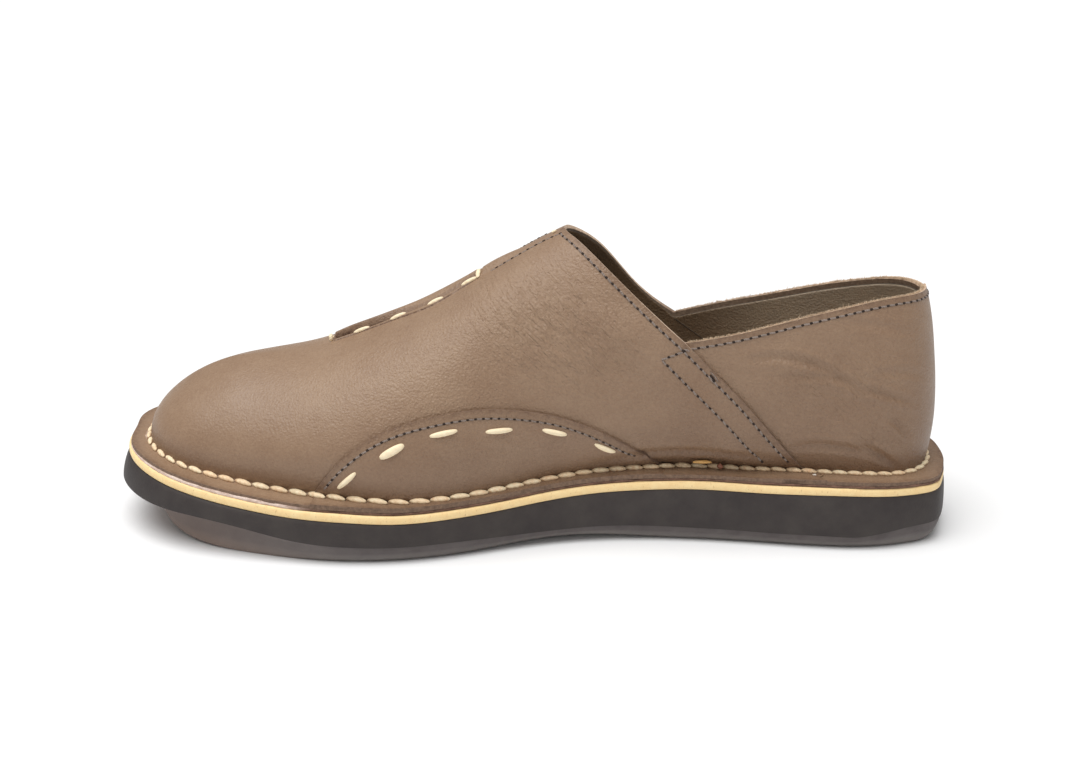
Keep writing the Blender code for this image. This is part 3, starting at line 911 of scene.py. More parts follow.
def add_ridge(materials):
    station = np.linspace(FAN_STATION[0] - RIDGE_LEAD, PEAK_STATION + 0.3, RIDGE_COLUMNS)
    across = np.linspace(*RIDGE_REACH, RIDGE_ROWS)
    station, across = np.meshgrid(station, across, indexing="ij")
    base, normals = on_spine(station, across)
    points = (base + normals * ridge_height(station, across)[..., None]).reshape(-1, 3)
    faces = orient(points, grid_faces(np.arange(station.size).reshape(station.shape)), MIDDLE)
    across = across.ravel()
    first, last = RIDGE_STATIONS
    full = smoothstep((station.ravel() - last) / 2.0) * smoothstep((first - station.ravel()) / 2.0)
    fold = read(RIDGE, "fold", station.ravel())
    width = read(RIDGE, "width", station.ravel())
    # painted shade: the fold, the line beside the near lip and the far lip's near face are darkened through
    # the edge and shade layers
    groove_shade = 1.2 * np.exp(-((across - fold) / 0.3) ** 2) + np.exp(-((across - fold + width) / 0.2) ** 2)
    face = smoothstep((across - fold) / 0.3) * (1 - smoothstep((across - fold - 1.6) / 0.8))
    layers = {"wrinkle": np.zeros(len(points)),
              "edge": (2.6 * groove_shade + 0.5 * face) * full,
              "shade": 0.5 * face * full}
    finish_piece(make_object("ridge", points, faces.tolist(), materials, None, layers), "brown_leather")
    return points, faces


# ---------------------------------------------------------------- rings round the sole
RING = LOOP[::RING_STEP]
# how far below the rubber's top its upper band ends
ARRIS = table("station depth",
              (0.0, 11.6), (19.0, 11.9), (28.0, 13.7), (36.0, 15.1), (45.0, 15.0), (56.0, 14.7), (69.0, 14.4),
              (80.0, 14.3), (94.0, 14.2), (109.0, 13.3), (126.0, 12.3), (143.0, 11.2), (161.0, 9.4),
              (177.0, 8.3), (194.0, 8.1), (211.0, 8.6), (229.0, 8.0), (247.0, 6.5), (264.0, 6.6),
              (283.0, 8.5), (300.0, 9.6))
ARRIS_OUT = (0.9, 1.8)      # how far the wall stands out there, heel and toe
TREAD_OUT = (-2.6, -12.5)   # and at the tread
TREAD_DROP = 4.5            # how much lower the worn zone ends at the toe tip than the plain tread
ARRIS_STEPS = (0.0, 0.05, 0.12, 0.22, 0.34, 0.48, 0.62, 0.75, 0.86, 0.94, 0.985)    # from the tread up to it
BAND_STEPS = (0.001, 0.04, 0.12, 0.25, 0.4, 0.55, 0.7, 0.85, 0.95, 0.985, 1.0)      # and on to the top
# sections of the rings: share of the height, or the rise, and how far out
BOARD_SECTION = ((0.0, -0.35), (0.08, 0.0), (0.25, 0.15), (0.6, 0.15), (0.88, 0.0), (1.0, -0.4))
RAND_SECTION = ((0.0, -5.0), (0.0, -0.4), (0.2, 0.1), (0.55, 0.25), (0.85, 0.05), (1.0, -0.3), (1.0, -5.0))
SOCK_SECTION = ((0.0, 0.0), (1.4, 0.0), (1.9, -0.5), (2.0, -1.2), (1.9, -8.0), (1.7, -16.0))


def ring_at(out, power=1.0, trim=1.0):
    """The ring moved out by one amount from the heel to the ball, going over to another at the toe tip."""
    heel, toe = out
    ahead = np.clip(past_ball(RING[:, 0]), 0.0, 1.0) ** power
    followed = np.where(RING[:, 0] > WAIST_STATION, trim, 1.0)
    return offset_loop(RING, heel + (toe - heel) * ahead - followed * tip_trim(RING))


def ring_stack(rings, closed=True):
    """Points and faces of equal rings joined upwards; closed ones are capped across the shoe."""
    count = len(rings[0])
    faces = []
    for level in range(len(rings) - 1):
        base = level * count
        for at in range(count):
            after = (at + 1) % count
            faces.append((base + at, base + after, base + count + after, base + count + at))
    last = (len(rings) - 1) * count
    for at in range(count // 2 if closed else 0):
        near = list(dict.fromkeys([at, at + 1, count - at - 1, (count - at) % count]))
        faces.append(tuple(reversed(near)))
        faces.append(tuple(last + corner for corner in near))
    return np.vstack(rings), faces


def add_outsole(material):
    """One wedge of rubber: a smooth band down to an arris, and a grey zone, painted floor light with some
    wear, that rolls under to the tread.
    """
    top = rubber_top(RING[:, 0]) - 0.25
    low = rubber_bottom(RING[:, 0]) - spring(RING[:, 0], TREAD_DROP, 4)
    arris = top + 0.25 - read(ARRIS, "depth", RING[:, 0])
    ahead = np.clip(past_ball(RING[:, 0]), 0.0, 1.0)
    rings = []
    wear_and_painted_light = []
    for step in ARRIS_STEPS:
        roll = np.sin(step * np.pi / 2) ** 0.8
        undercut = 0.1 * np.sin(min(step / 0.4, 1.0) * np.pi / 2) + 0.9 * smoothstep((step - 0.86) / 0.14)
        share = roll + (undercut - roll) * smoothstep(1.6 * ahead)
        tread = ring_at(TREAD_OUT, 3.0, 0.3)
        edge = ring_at(ARRIS_OUT, 1.0, 0.3)
        rings.append(np.c_[tread + (edge - tread) * share[:, None], low + (arris - low) * step])
        wear_and_painted_light.append(2.0 - step)
    for step in BAND_STEPS:
        rounded = 0.35 * smoothstep((step - 0.9) / 0.1)
        out = [edge * (1 - step ** 2) + 0.3 - rounded for edge in ARRIS_OUT]
        rings.append(np.c_[ring_at(out, 1.0, 0.3 + 0.7 * step), arris + (top - arris) * step])
        wear_and_painted_light.append(0.0)
    points, faces = ring_stack(rings)
    # painted light with some wear: 2 at the tread, about 1 at the arris, 0 on the band above
    zone = np.repeat(wear_and_painted_light, len(RING))
    made = make_object("sole", points, faces, [material], None, {"wear_and_painted_light": zone})
    made.data.set_sharp_from_angle(angle=np.radians(50.0))
    finish_piece(made, "black_rubber", "outsole")


def add_midsole(material):
    """The tan board, its cut edge a little rounded."""
    low = rubber_top(RING[:, 0]) - 0.2
    high = midsole_top(RING[:, 0]) + 0.1 + 0.2 * smoothstep((RING[:, 0] - 195) / 30)
    rings = []
    for step, out in BOARD_SECTION:
        rings.append(np.c_[ring_at((out, out)), low + (high - low) * step])
    points, faces = ring_stack(rings)
    made = make_object("board", points, faces, [material])
    made.data.set_sharp_from_angle(angle=np.radians(60.0))
    finish_piece(made, "tan_leather", "midsole")


def add_rand(material):
    """The lining's raw edge, turned out between the flange's leather and the midsole."""
    base = FLANGE_EDGE[::RING_STEP]
    torn = smoothstep((base[:, 0] - 215) / 20)
    low = midsole_top(base[:, 0]) + 0.05
    high = flange_top(base[:, 0]) - LEATHER + 0.3 * torn
    random = np.random.default_rng(7)
    fray = np.convolve(random.normal(0, 1, len(base) + 4), np.ones(5) / 5, "valid")
    rings = []
    for step, out in RAND_SECTION:
        wander = (0.16 * fray + 0.3 * torn) * (out > -1)
        height = low + (high - low) * step + 0.12 * fray * (step > 0.8)
        rings.append(np.c_[offset_loop(base, out + wander), height])
    points, faces = ring_stack(rings, closed=False)
    count = len(base)
    last = len(points) - count
    faces += [(last + at, last + (at + 1) % count, (at + 1) % count, at) for at in range(count)]
    pale = {"toe": smoothstep((points[:, 0] - 222) / 14)}
    finish_piece(make_object("rand", points, faces, [material], None, pale), "lining_leather")


def add_insole(material):
    """Leather sock under the foot, its edge a little rounded, gently hollowed at the heel."""
    ring = offset_loop(CREASE_LOOP, -(WALL + 2 * SEAM_GAP))[::RING_STEP]
    low = midsole_top(ring[:, 0]) + SEAM_GAP
    rings = []
    for rise, out in SOCK_SECTION:
        rings.append(np.c_[offset_loop(ring, out), low + rise])
    points, faces = ring_stack(rings)
    finish_piece(make_object("sock", points, faces, [material]), "insole_leather", "insole")


# ---------------------------------------------------------------- thread and its places
LOCK_PITCH = 3.0
PATCH_PITCH = 2.75
ROW_INSET = 2.4             # of the row along the vamp's rear edge
ROW_START = {"medial": 5.0, "lateral": 13.0}    # of that row from the peak
ROW_END = 4.5               # and from the wall's foot
SECOND_INSET = 9.7          # of the second row
SECOND_CORNER = 107.0       # station where the second row starts
SECOND_END = 9.0
CROSS_STATION = 99.0        # where the short row from that corner meets the first row
CROSS_STEPS = 12
QUARTER_INSET = 2.4
SPINE_INSET = {"medial": 4.3, "lateral": 6.0}   # of the rows beside the top line, behind the ridge
SPINE_STATIONS = (165.5, 145.5)
# of the patch's row from its edge, along that edge from the toe's end
PATCH_INSET = table("share inset", (0.0, 2.0), (0.12, 2.8), (0.4, 3.1), (0.7, 2.9), (1.0, 2.6))
PATCH_ROW_ENDS = (3.0, 14.0)    # how far that row stops short of the edge's two ends
DOUBLED = ((90.6, 63.2), (87.2, 59.1))      # station and height where a lock row was sewn twice
FUZZ_COUNT = 2200           # fibres on each side's top edge
FUZZ_LENGTH = (0.35, 1.05)
FUZZ_WIDTH = 0.1


def surface_tree(*nets):
    """One ray-cast tree over the finished outer faces of several leather pieces."""
    points = []
    faces = []
    for net_points, net_faces in nets:
        start = sum(len(part) for part in points)
        faces += (net_faces + start).tolist()
        points.append(net_points)
    return BVHTree.FromPolygons(np.vstack(points).tolist(), faces)


def on_top(tree, points, outward, reach=7.0):
    """The leather's outermost face under each point, looking in along outward, and its normals there."""
    found = []
    normals = []
    for point, away in zip(points, outward):
        away = Vector(away)
        place_hit, normal, _, _ = tree.ray_cast(Vector(point) + away * reach, -away, reach + 7)
        if place_hit is None:
            place_hit, normal = Vector(point), away
        found.append(place_hit)
        normals.append(normal if normal.dot(away) > 0 else -normal)
    return np.array(found), np.array(normals)


def wall_normals(side, share, girth):
    """Outward normals of the upper's plain face."""
    step = 0.002
    along = skin(side, share + step, girth) - skin(side, share - step, girth)
    up = skin(side, share, np.minimum(girth + step, 1.0)) - skin(side, share, girth - step)
    return unit(np.cross(along, up)) * (1 if side == "lateral" else -1)


def rear_edge(side):
    """Share and girth down the vamp's rear edge: along the collar from the peak, then down the lap."""
    reach = lap_share(side, np.array([1.0]))[0]
    down = np.linspace(1.0, 0.02, 120)
    share = np.r_[np.linspace(PEAK_SHARE, reach, 90, endpoint=False), lap_share(side, down)]
    return share, np.r_[np.ones(90), down]


def inset(side, share, girth, distance):
    """Points and normals of a line that runs inside an edge, towards the toe and down from it."""
    edge = skin(side, share, girth)
    normals = wall_normals(side, share, girth)
    along = unit(np.gradient(edge, axis=0))
    inward = unit(np.cross(normals, along)) * (1 if side == "medial" else -1)
    return edge + inward * np.broadcast_to(distance, len(edge))[:, None], normals


def between(points, normals, first, last):
    """The part of a line between two distances along it, measured from its ends."""
    lengths = lengths_along(points)
    keep = (lengths >= first) & (lengths <= lengths[-1] - last)
    return points[keep], normals[keep]


def steps_along(points, normals, pitch):
    """Even places along a line: points, tangents and normals."""
    total = lengths_along(points)[-1]
    count = max(int(round(total / pitch)), 1)
    where = (np.arange(count) + 0.5) * total / count
    here = along_line(points, where)
    ahead = along_line(points, np.minimum(where + 0.4, total))
    behind = along_line(points, np.maximum(where - 0.4, 0.0))
    return here, unit(ahead - behind), unit(along_line(normals, where / total * lengths_along(normals)[-1]))


class Stitches:
    """Beans of thread gathered in one mesh; each has a middle, a direction, a way up and three sizes."""

    RINGS = 11
    SIDES = 12

    def __init__(self):
        self.points = []
        self.faces = []
        self.strand = []
        self.shade = []
        self.count = 0

    def add(self, middle, along, up, length, width, height, dip=0.0, shade=0.0, bow=0.0, taper=0.75):
        along = unit(np.asarray(along, float))
        side = unit(np.cross(np.asarray(up, float), along))
        up = np.cross(along, side)
        angle = np.linspace(0.0, np.pi, self.RINGS)[1:-1]
        turn = np.linspace(-np.pi / 2, 1.5 * np.pi, self.SIDES, endpoint=False)
        reach = np.r_[-1.0, np.repeat(-np.cos(angle), self.SIDES), 1.0]
        girth = np.r_[0.0, np.repeat(np.sin(angle) ** taper, self.SIDES), 0.0]
        turn = np.r_[0.0, np.tile(turn, len(angle)), 0.0]
        sideways = np.cos(turn) * girth * width / 2 + bow * (1 - reach ** 2)
        raised = np.sin(turn) * girth * height / 2 - dip * reach ** 2
        self.points.append(np.asarray(middle, float) + np.outer(reach * length / 2, along)
                           + np.outer(sideways, side) + np.outer(raised, up))
        self.strand.append(reach * 1.6 + turn / np.pi)
        # painted shade: each bean is darker on its underside; the shade argument adds a tone of its own on
        # top
        self.shade.append(np.full(len(reach), shade) + 0.5 * np.clip(-np.sin(turn) * girth, 0, 1))
        last = len(reach) - 1
        for ring in range(len(angle)):
            base = 1 + ring * self.SIDES
            for at in range(self.SIDES):
                after = (at + 1) % self.SIDES
                if ring == 0:
                    self.faces.append([self.count + corner for corner in (0, base + after, base + at)])
                if ring == len(angle) - 1:
                    self.faces.append([self.count + corner for corner in (last, base + at, base + after)])
                else:
                    corners = (base + at, base + after, base + self.SIDES + after, base + self.SIDES + at)
                    self.faces.append([self.count + corner for corner in corners])
        self.count += len(reach)

    def finish(self, name, material, slot):
        layers = {"strand": np.concatenate(self.strand), "shade": np.concatenate(self.shade)}
        made = make_object(name, np.vstack(self.points), self.faces, [material], None, layers)
        finish_piece(made, slot)


def lock_row(thread, holes, tree, points, normals, pitch, flat=1.0):
    """A machine row: sunk thread between needle holes, each a bean of painted shade."""
    points, normals = on_top(tree, points, normals)
    here, along, up = steps_along(points, normals, pitch)
    for middle, way, top in zip(here, along, up):
        side = np.cross(top, way)
        thread.add(middle + top * 0.1 * flat, way + side * 0.14, top, pitch * 0.86, 0.72, 0.6 * flat,
                   dip=0.18)
        holes.add(middle + way * pitch / 2 + top * 0.05, way, top, 1.2, 0.85, 0.5)


def add_lock_rows(tree, thread_material, hole_material):
    """The rows in thread of the leather's own tone, on both sides."""
    thread = Stitches()
    holes = Stitches()
    for side in SIDES:
        share, girth = rear_edge(side)
        first, first_normals = between(*inset(side, share, girth, ROW_INSET), ROW_START[side], ROW_END)
        second, second_normals = inset(side, share, girth, SECOND_INSET)
        corner = np.interp(-SECOND_CORNER, -second[:, 0], lengths_along(second))
        second, second_normals = between(second, second_normals, corner, SECOND_END)
        end = first[np.argmin(np.abs(first[:, 0] - CROSS_STATION))]
        cross = np.linspace(second[0], end, CROSS_STEPS)
        cross_normals = np.repeat(second_normals[:1], CROSS_STEPS, axis=0)
        top_share = np.linspace(lap_share(side, np.array([1.0]))[0] - 0.002, 0.998, 90)
        row_girth = 1 - QUARTER_INSET / wall_length(side, top_share)
        quarter = skin(side, top_share, row_girth)
        quarter_normals = wall_normals(side, np.minimum(top_share, 0.995), row_girth)
        spine_share = np.interp(-np.linspace(*SPINE_STATIONS, 30), -FAN_STATION, SHARES)
        row_girth = 1 - SPINE_INSET[side] / wall_length(side, spine_share)
        spine = skin(side, spine_share, row_girth)
        spine_normals = wall_normals(side, spine_share, row_girth)
        if side == "medial":
            spine = np.vstack([spine, first[:1]])
            spine_normals = np.vstack([spine_normals, first_normals[:1]])
        lock_row(thread, holes, tree, spine, spine_normals, LOCK_PITCH, 0.6)
        for points, normals in ((first, first_normals), (second, second_normals), (cross, cross_normals),
                                (quarter, quarter_normals)):
            lock_row(thread, holes, tree, points, normals, LOCK_PITCH)
    share, girth = patch_line()
    distance = read(PATCH_INSET, "inset", np.linspace(0.0, 1.0, len(share)))
    points, normals = between(*inset("medial", share, girth, distance), *PATCH_ROW_ENDS)
    lock_row(thread, holes, tree, points, normals, PATCH_PITCH)
    share, girth = locate("medial", *np.transpose(DOUBLED))
    ends, normals = on_top(tree, skin("medial", share, girth), wall_normals("medial", share, girth))
    along = ends[1] - ends[0]
    for aside in (-0.62, 0.62):
        middle = ends.mean(axis=0) + unit(np.cross(normals[0], along)) * aside + normals[0] * 0.15
        thread.add(middle, along, normals[0], 4.6, 0.42, 0.5, bow=0.25 * np.sign(aside))
    holes.add(ends.mean(axis=0), along, normals[0], 3.2, 0.8, 0.3)
    thread.finish("lock_stitches", thread_material, "dark_thread")
    holes.finish("needle_holes", hole_material, "dark_thread")


# the six large stitches on the patch: station, height, tilt in degrees, length and width
PATCH_STITCHES = ((211.9, 28.4, 46.0, 9.2, 2.0), (196.7, 38.5, 30.0, 9.4, 2.9),
                  (179.8, 43.9, 10.0, 9.8, 2.0), (161.5, 43.3, 0.0, 9.8, 2.0),
                  (142.4, 41.4, -15.0, 9.2, 2.0), (124.8, 35.2, -26.0, 8.6, 2.0))
RIDGE_DASHES = (211.0, 197.5, 183.7, 172.5)     # stations of the stitches on the near lip
FAR_DASHES = (219.0, 206.0, 192.0, 179.6)       # and of those on the far side
FAR_ACROSS = 2.1
RIDGE_TICKS = ((222.3, 0.6, 1.5), (169.4, 3.4, 1.8))    # station, reach down the medial flank, and thickness
TICK_ACROSS = -0.1
PEAK_STITCH = (143.6, -0.6)     # station and across
ROPE_PITCH = table("station pitch width",
                   (0.0, 5.0, 1.75), (60.0, 5.4, 1.9), (120.0, 6.1, 2.15), (180.0, 6.8, 2.2),
                   (225.0, 6.9, 2.2), (250.0, 6.3, 2.1), (270.0, 5.6, 1.9), (300.0, 5.0, 1.7))
ROPE_SLANT = 0.17
ROPE_LEVEL = 1.1            # over the flange, where the rope's side touches the wall
ROPE_SEARCH = 6.0           # from this far out the wall is looked for
ROPE_DRAWN_IN = 0.05        # share of the pitch, at both ends, that the places a stitch lies between come in


def spine_place(station, across):
    """A point beside the top line, the way towards the heel there, and the wall's normal."""
    stations = np.repeat(np.array([station + 1, station, station - 1])[:, None], 3, axis=1)
    points, normals = on_spine(stations, across + np.tile([-0.2, 0.0, 0.2], (3, 1)))
    return points[1, 1], points[2, 1] - points[0, 1], normals[1, 1]


def add_cream_stitches(tree, material):
    """Hand stitches in thick waxed thread: on the patch, through the ridge, over its ends, at the peak."""
    cream = Stitches()
    for station, height, tilt, length, width in PATCH_STITCHES:
        run = np.cos(np.radians(tilt)) * length / 2
        rise = np.sin(np.radians(tilt)) * length / 2 * 0.93
        share, girth = locate("medial", np.array([station + run, station, station - run]),
                              np.array([height - rise, height, height + rise]))
        points, normals = on_top(tree, skin("medial", share, girth), wall_normals("medial", share, girth))
        cream.add(points[1] + normals[1] * 0.25, points[2] - points[0], normals[1], length, width, 1.9,
                  dip=0.5)
    dashes = [(station, read(RIDGE, "fold", station) - 0.5 * read(RIDGE, "width", station))
              for station in RIDGE_DASHES]
    dashes += [(station, FAR_ACROSS) for station in FAR_DASHES]
    for station, across in dashes:
        point, along, normal = spine_place(station, across)
        flank = unit(normal * 0.9 + np.array([0.0, np.sign(across), 0.0]))
        cream.add(point + normal * 0.7, along, flank, 6.3, 1.55, 1.2, dip=0.3)
    for station, reach, width in RIDGE_TICKS:
        top, _, normal = spine_place(station, TICK_ACROSS)
        foot, _, _ = spine_place(station, TICK_ACROSS - reach)
        top = top + normal * (read(RIDGE, "far", station) - 0.3)
        foot = foot + normal * 0.5
        outward = unit(normal + np.array([0.0, -1.2, 0.0]))
        length = np.linalg.norm(foot - top) + 1.3
        cream.add((top + foot) / 2 + outward * 0.35, foot - top, outward, length, width, 1.3, dip=0.3)
    top, along, normal = spine_place(*PEAK_STITCH)
    cream.add(top + normal * 0.5, along, normal, 1.9, 1.0, 1.0)
    cream.finish("cream_stitches", material, "cream_thread")


def rope_middle(tree, foot, outward, width):
    """Middle of a rope stitch, laid against the wall and down on the flange."""
    level = flange_top(foot[0])
    rise = (flange_top(foot[0] + outward[0] * ROPE_SEARCH) - level) / ROPE_SEARCH
    away = np.r_[outward, rise]
    side, _ = on_top(tree, [np.r_[foot, level + ROPE_LEVEL]], [away], ROPE_SEARCH)
    touch = side[0] + away * 0.42 * width
    under, _ = on_top(tree, [touch], [(0.0, 0.0, 1.0)], 0.1)
    return np.r_[touch[:2], under[0, 2] + 0.3 * width]


def rope_ends(lengths, loop):
    """Distances along the loop where the stitches meet, so that they close it evenly."""
    ends = [0.0]
    while ends[-1] < lengths[-1]:
        station = np.interp(ends[-1], lengths, loop[:, 0])
        ends.append(ends[-1] + float(read(ROPE_PITCH, "pitch", station)))
    return np.array(ends) * lengths[-1] / ends[-1]


def add_rope(tree, material):
    """The thick sewing that holds the flange down: plump overlapping stitches along the upper's crease."""
    random = np.random.default_rng(11)
    rope = Stitches()
    loop = np.vstack([CREASE_LOOP, CREASE_LOOP[:1]])
    lengths = lengths_along(loop)
    meet = rope_ends(lengths, loop)
    for start, end in zip(meet[:-1], meet[1:]):
        pitch = end - start
        ends = along_line(loop, np.array([start + pitch * ROPE_DRAWN_IN, end - pitch * ROPE_DRAWN_IN]))
        width = float(read(ROPE_PITCH, "width", ends[0, 0]))
        way = unit(ends[1] - ends[0])
        outward = np.array([-way[1], way[0]])
        first, last = (rope_middle(tree, end, outward, width) for end in ends)
        wobble = random.normal(0, 1, 4)
        along = last - first + np.r_[outward, 0.0] * pitch * (ROPE_SLANT + 0.03 * wobble[0])
        rope.add((first + last) / 2, along, np.r_[outward * 0.55, 1.0], np.linalg.norm(along) * 1.08 + 0.35,
                 width * (1 + 0.05 * wobble[2]), 0.85 * width * (1 + 0.05 * wobble[3]), dip=0.3,
                 shade=0.25 * random.random(), taper=1.0)
    rope.finish("welt_stitches", material, "cream_thread")


LINING_LAP = (99.0, 80.0)   # stations of the lining's lap, from the top down
LINING_LAP_TOP = 65.8       # height of the lap at the first of them
LINING_LAP_SLOPE = 0.7


def add_lining_lap(material):
    """The edge where the lining's front piece laps its rear one, seen inside the lateral side."""
    lap = Stitches()
    station = np.linspace(*LINING_LAP, 9)
    share, girth = locate("lateral", station, LINING_LAP_TOP + (station - LINING_LAP[0]) * LINING_LAP_SLOPE)
    inward = -wall_normals("lateral", share, girth)
    points = skin("lateral", share, girth) + inward * (WALL + 0.05)
    for at in range(1, len(points) - 1):
        lap.add(points[at], points[at + 1] - points[at - 1], inward[at], 4.2, 0.34, 0.34)
    lap.finish("lining_lap", material, "lining_leather")


def add_fuzz(material):
    """Short fibres that stand up from the quarter's raw top edge, each a thin bent spike."""
    random = np.random.default_rng(5)
    points = []
    for side in SIDES:
        first = lap_share(side, np.array([1.0]))[0]
        share = random.uniform(first + 0.002, 0.997, FUZZ_COUNT)
        normals = wall_normals(side, share, np.ones(FUZZ_COUNT) - 0.003)
        root = skin(side, share, 1.0) - normals * random.uniform(-0.05, LEATHER, (FUZZ_COUNT, 1))
        root[:, 2] -= 0.1
        lean = random.normal(0, 0.5, (FUZZ_COUNT, 3)) + (0.0, 0.0, 1.0)
        bend = random.normal(0, 0.6, (FUZZ_COUNT, 3)) + lean
        length = random.uniform(*FUZZ_LENGTH, (FUZZ_COUNT, 1)) * (1 + (random.random((FUZZ_COUNT, 1)) > 0.97))
        middle = root + unit(lean) * length * 0.55
        tip = middle + unit(bend) * length * 0.45
        for angle in np.radians((0.0, 120.0, 240.0)):
            around = np.array([np.cos(angle), np.sin(angle), 0.0]) * FUZZ_WIDTH
            points += [root + around, middle + around * 0.7]
        points.append(tip)
    count = 2 * FUZZ_COUNT
    halves = np.array(points).reshape(2, 7, FUZZ_COUNT, 3)
    vertices = halves.transpose(0, 2, 1, 3).reshape(-1, 3)
    faces = []
    for base in range(0, 7 * count, 7):
        faces.append((base + 4, base + 2, base))
        for low, after in ((0, 2), (2, 4), (4, 0)):
            faces.append((base + low, base + after, base + after + 1, base + low + 1))
            faces.append((base + low + 1, base + after + 1, base + 6))
    finish_piece(make_object("top_fibres", vertices, faces, [material]), "brown_leather")


def blob(name, middle, radius, stretch, material, seed):
    """A small uneven lump."""
    bpy.ops.mesh.primitive_ico_sphere_add(subdivisions=4, radius=1.0)
    lump = bpy.context.object
    lump.name = name
    points = np.empty(len(lump.data.vertices) * 3)
    lump.data.vertices.foreach_get("co", points)
    points = points.reshape(-1, 3)
    random = np.random.default_rng(seed)
    uneven = np.ones(len(points))
    for _ in range(9):
        centre = unit(random.normal(0, 1, 3))
        uneven += random.uniform(0.1, 0.32) * np.exp(-((points - centre) ** 2).sum(axis=1) / 0.12)
    points = points * uneven[:, None] * np.array(stretch) * radius + np.asarray(middle, float)
    lump.data.vertices.foreach_set("co", place(points).ravel())
    lump.data.flip_normals()
    lump.data.shade_smooth()
    lump.data.materials.append(material)
    finish_piece(lump, None)


# lumps on the rope and the flange: station, across, height over the flange, radius and stretch
GLUE = (90.2, -24.0, 3.1, 0.75, (4.2, 1.0, 0.8))
KNOT = (83.9, -24.2, 1.7, 0.85, (1.2, 1.0, 1.0))
FLECK = (51.2, -27.4, 0.3, 0.5, (1.3, 1.0, 0.8))
# the curl of waste thread: station and across at both ends of each piece
CURL = (((50.4, -28.6), (48.9, -28.3)), ((49.2, -28.4), (48.2, -27.0)), ((48.3, -27.2), (48.7, -26.0)))


def add_marks():
    """Small accidents of hand work: a bead of glue, a knot, a fleck and a curl of waste thread."""
    lumps = (("glue", GLUE, (226, 176, 104), 0.3), ("knot", KNOT, (140, 88, 66), 0.5),
             ("fleck", FLECK, (236, 226, 212), 0.6))
    for seed, (name, (station, across, rise, radius, stretch), colour, rough) in enumerate(lumps):
        middle = (station, across, flange_top(station) + rise)
        blob(name, middle, radius, stretch, plain(name, colour, rough), seed)
    loose = Stitches()
    for start, end in CURL:
        ends = np.array([(*start, flange_top(start[0]) + 0.3), (*end, flange_top(end[0]) + 0.3)])
        loose.add(ends.mean(axis=0), ends[1] - ends[0], (0.0, 0.0, 1.0), 2.0, 0.55, 0.55)
    loose.finish("loose_ends", plain("waste", (150, 120, 92), 0.7), "dark_thread")


# ---------------------------------------------------------------- materials
def linear(colour):
    """A colour named by its 0 to 255 screen values, as the linear value that shaders use."""
    part = np.array(colour) / 255
    return (*np.where(part < 0.04045, part / 12.92, ((part + 0.055) / 1.055) ** 2.4), 1.0)


class Shader:
    """A principled material with short names for the nodes that the recipes below use."""

    def __init__(self, name):
        self.material = bpy.data.materials.new(name)
        self.material.use_nodes = True
        self.tree = self.material.node_tree
        self.surface = self.tree.nodes["Principled BSDF"]
        self.where = self.tree.nodes.new("ShaderNodeTexCoord").outputs["Object"]

    def node(self, kind, *inputs, **settings):
        """A node with its settings; its first inputs are linked to outputs or given values."""
        made = self.tree.nodes.new("ShaderNode" + kind)
        for key, value in settings.items():
            setattr(made, key, value)
        for socket, value in zip(made.inputs, inputs):
            self.feed(socket, value)
        return made

    def feed(self, socket, value):
        if isinstance(value, bpy.types.NodeSocket):
            self.tree.links.new(value, socket)
        elif value is not None:
            socket.default_value = value

    def math(self, operation, *inputs):
        return self.node("Math", *inputs, operation=operation).outputs[0]

    def noise(self, size, detail=3.0, rough=0.55, where=None):
        """Noise from about 0 to 1 whose features are this many millimetres across."""
        made = self.node("TexNoise", where or self.where)
        made.inputs["Scale"].default_value = 1 / (size * MM)
        made.inputs["Detail"].default_value = detail
        made.inputs["Roughness"].default_value = rough
        return made.outputs[0]

    def cells(self, size):
        """Distance from the middle of the nearest cell, where cells are this many millimetres apart."""
        made = self.node("TexVoronoi", self.where)
        made.inputs["Scale"].default_value = 1 / (size * MM)
        return made.outputs["Distance"]

    def stretch(self, x, y, z, turn=(0.0, 0.0, 0.0)):
        """Coordinates stretched so that a texture's features grow by these factors."""
        made = self.node("Mapping", self.where, vector_type="TEXTURE")
        made.inputs["Rotation"].default_value = turn
        made.inputs["Scale"].default_value = (x, y, z)
        return made.outputs[0]

    def axis(self, letter, low, high):
        """0 to 1 between two coordinates along one of the frame's axes, in metres."""
        split = self.node("SeparateXYZ", self.where).outputs["XYZ".index(letter)]
        return self.spread(split, low, high)

    def spread(self, value, low, high, start=0.0, end=1.0):
        """Maps low..high to start..end and stops there."""
        return self.node("MapRange", value, low, high, start, end).outputs[0]

    def mix(self, share, one, other, blend="MIX"):
        made = self.node("Mix", data_type="RGBA", blend_type=blend)
        self.feed(made.inputs[0], share)
        self.feed(made.inputs[6], one)
        self.feed(made.inputs[7], other)
        return made.outputs[2]

    def tones(self, share, one, other):
        """A mix of two colours that are named by their screen values."""
        return self.mix(share, linear(one), linear(other))

    def layer(self, name):
        return self.node("Attribute", attribute_name=name).outputs["Fac"]

    def bump(self, height, depth, before=None):
        """Bump of a 0 to 1 height, this many millimetres deep."""
        made = self.node("Bump")
        made.inputs["Distance"].default_value = depth * MM
        self.feed(made.inputs["Height"], height)
        self.feed(made.inputs["Normal"], before)
        return made.outputs[0]

    def finish(self, colour, rough, normal=None, **fixed):
        self.feed(self.surface.inputs["Base Color"], colour)
        self.feed(self.surface.inputs["Roughness"], rough)
        self.feed(self.surface.inputs["Normal"], normal)
        for key, value in fixed.items():
            self.surface.inputs[key.replace("_", " ")].default_value = value
        return self.material


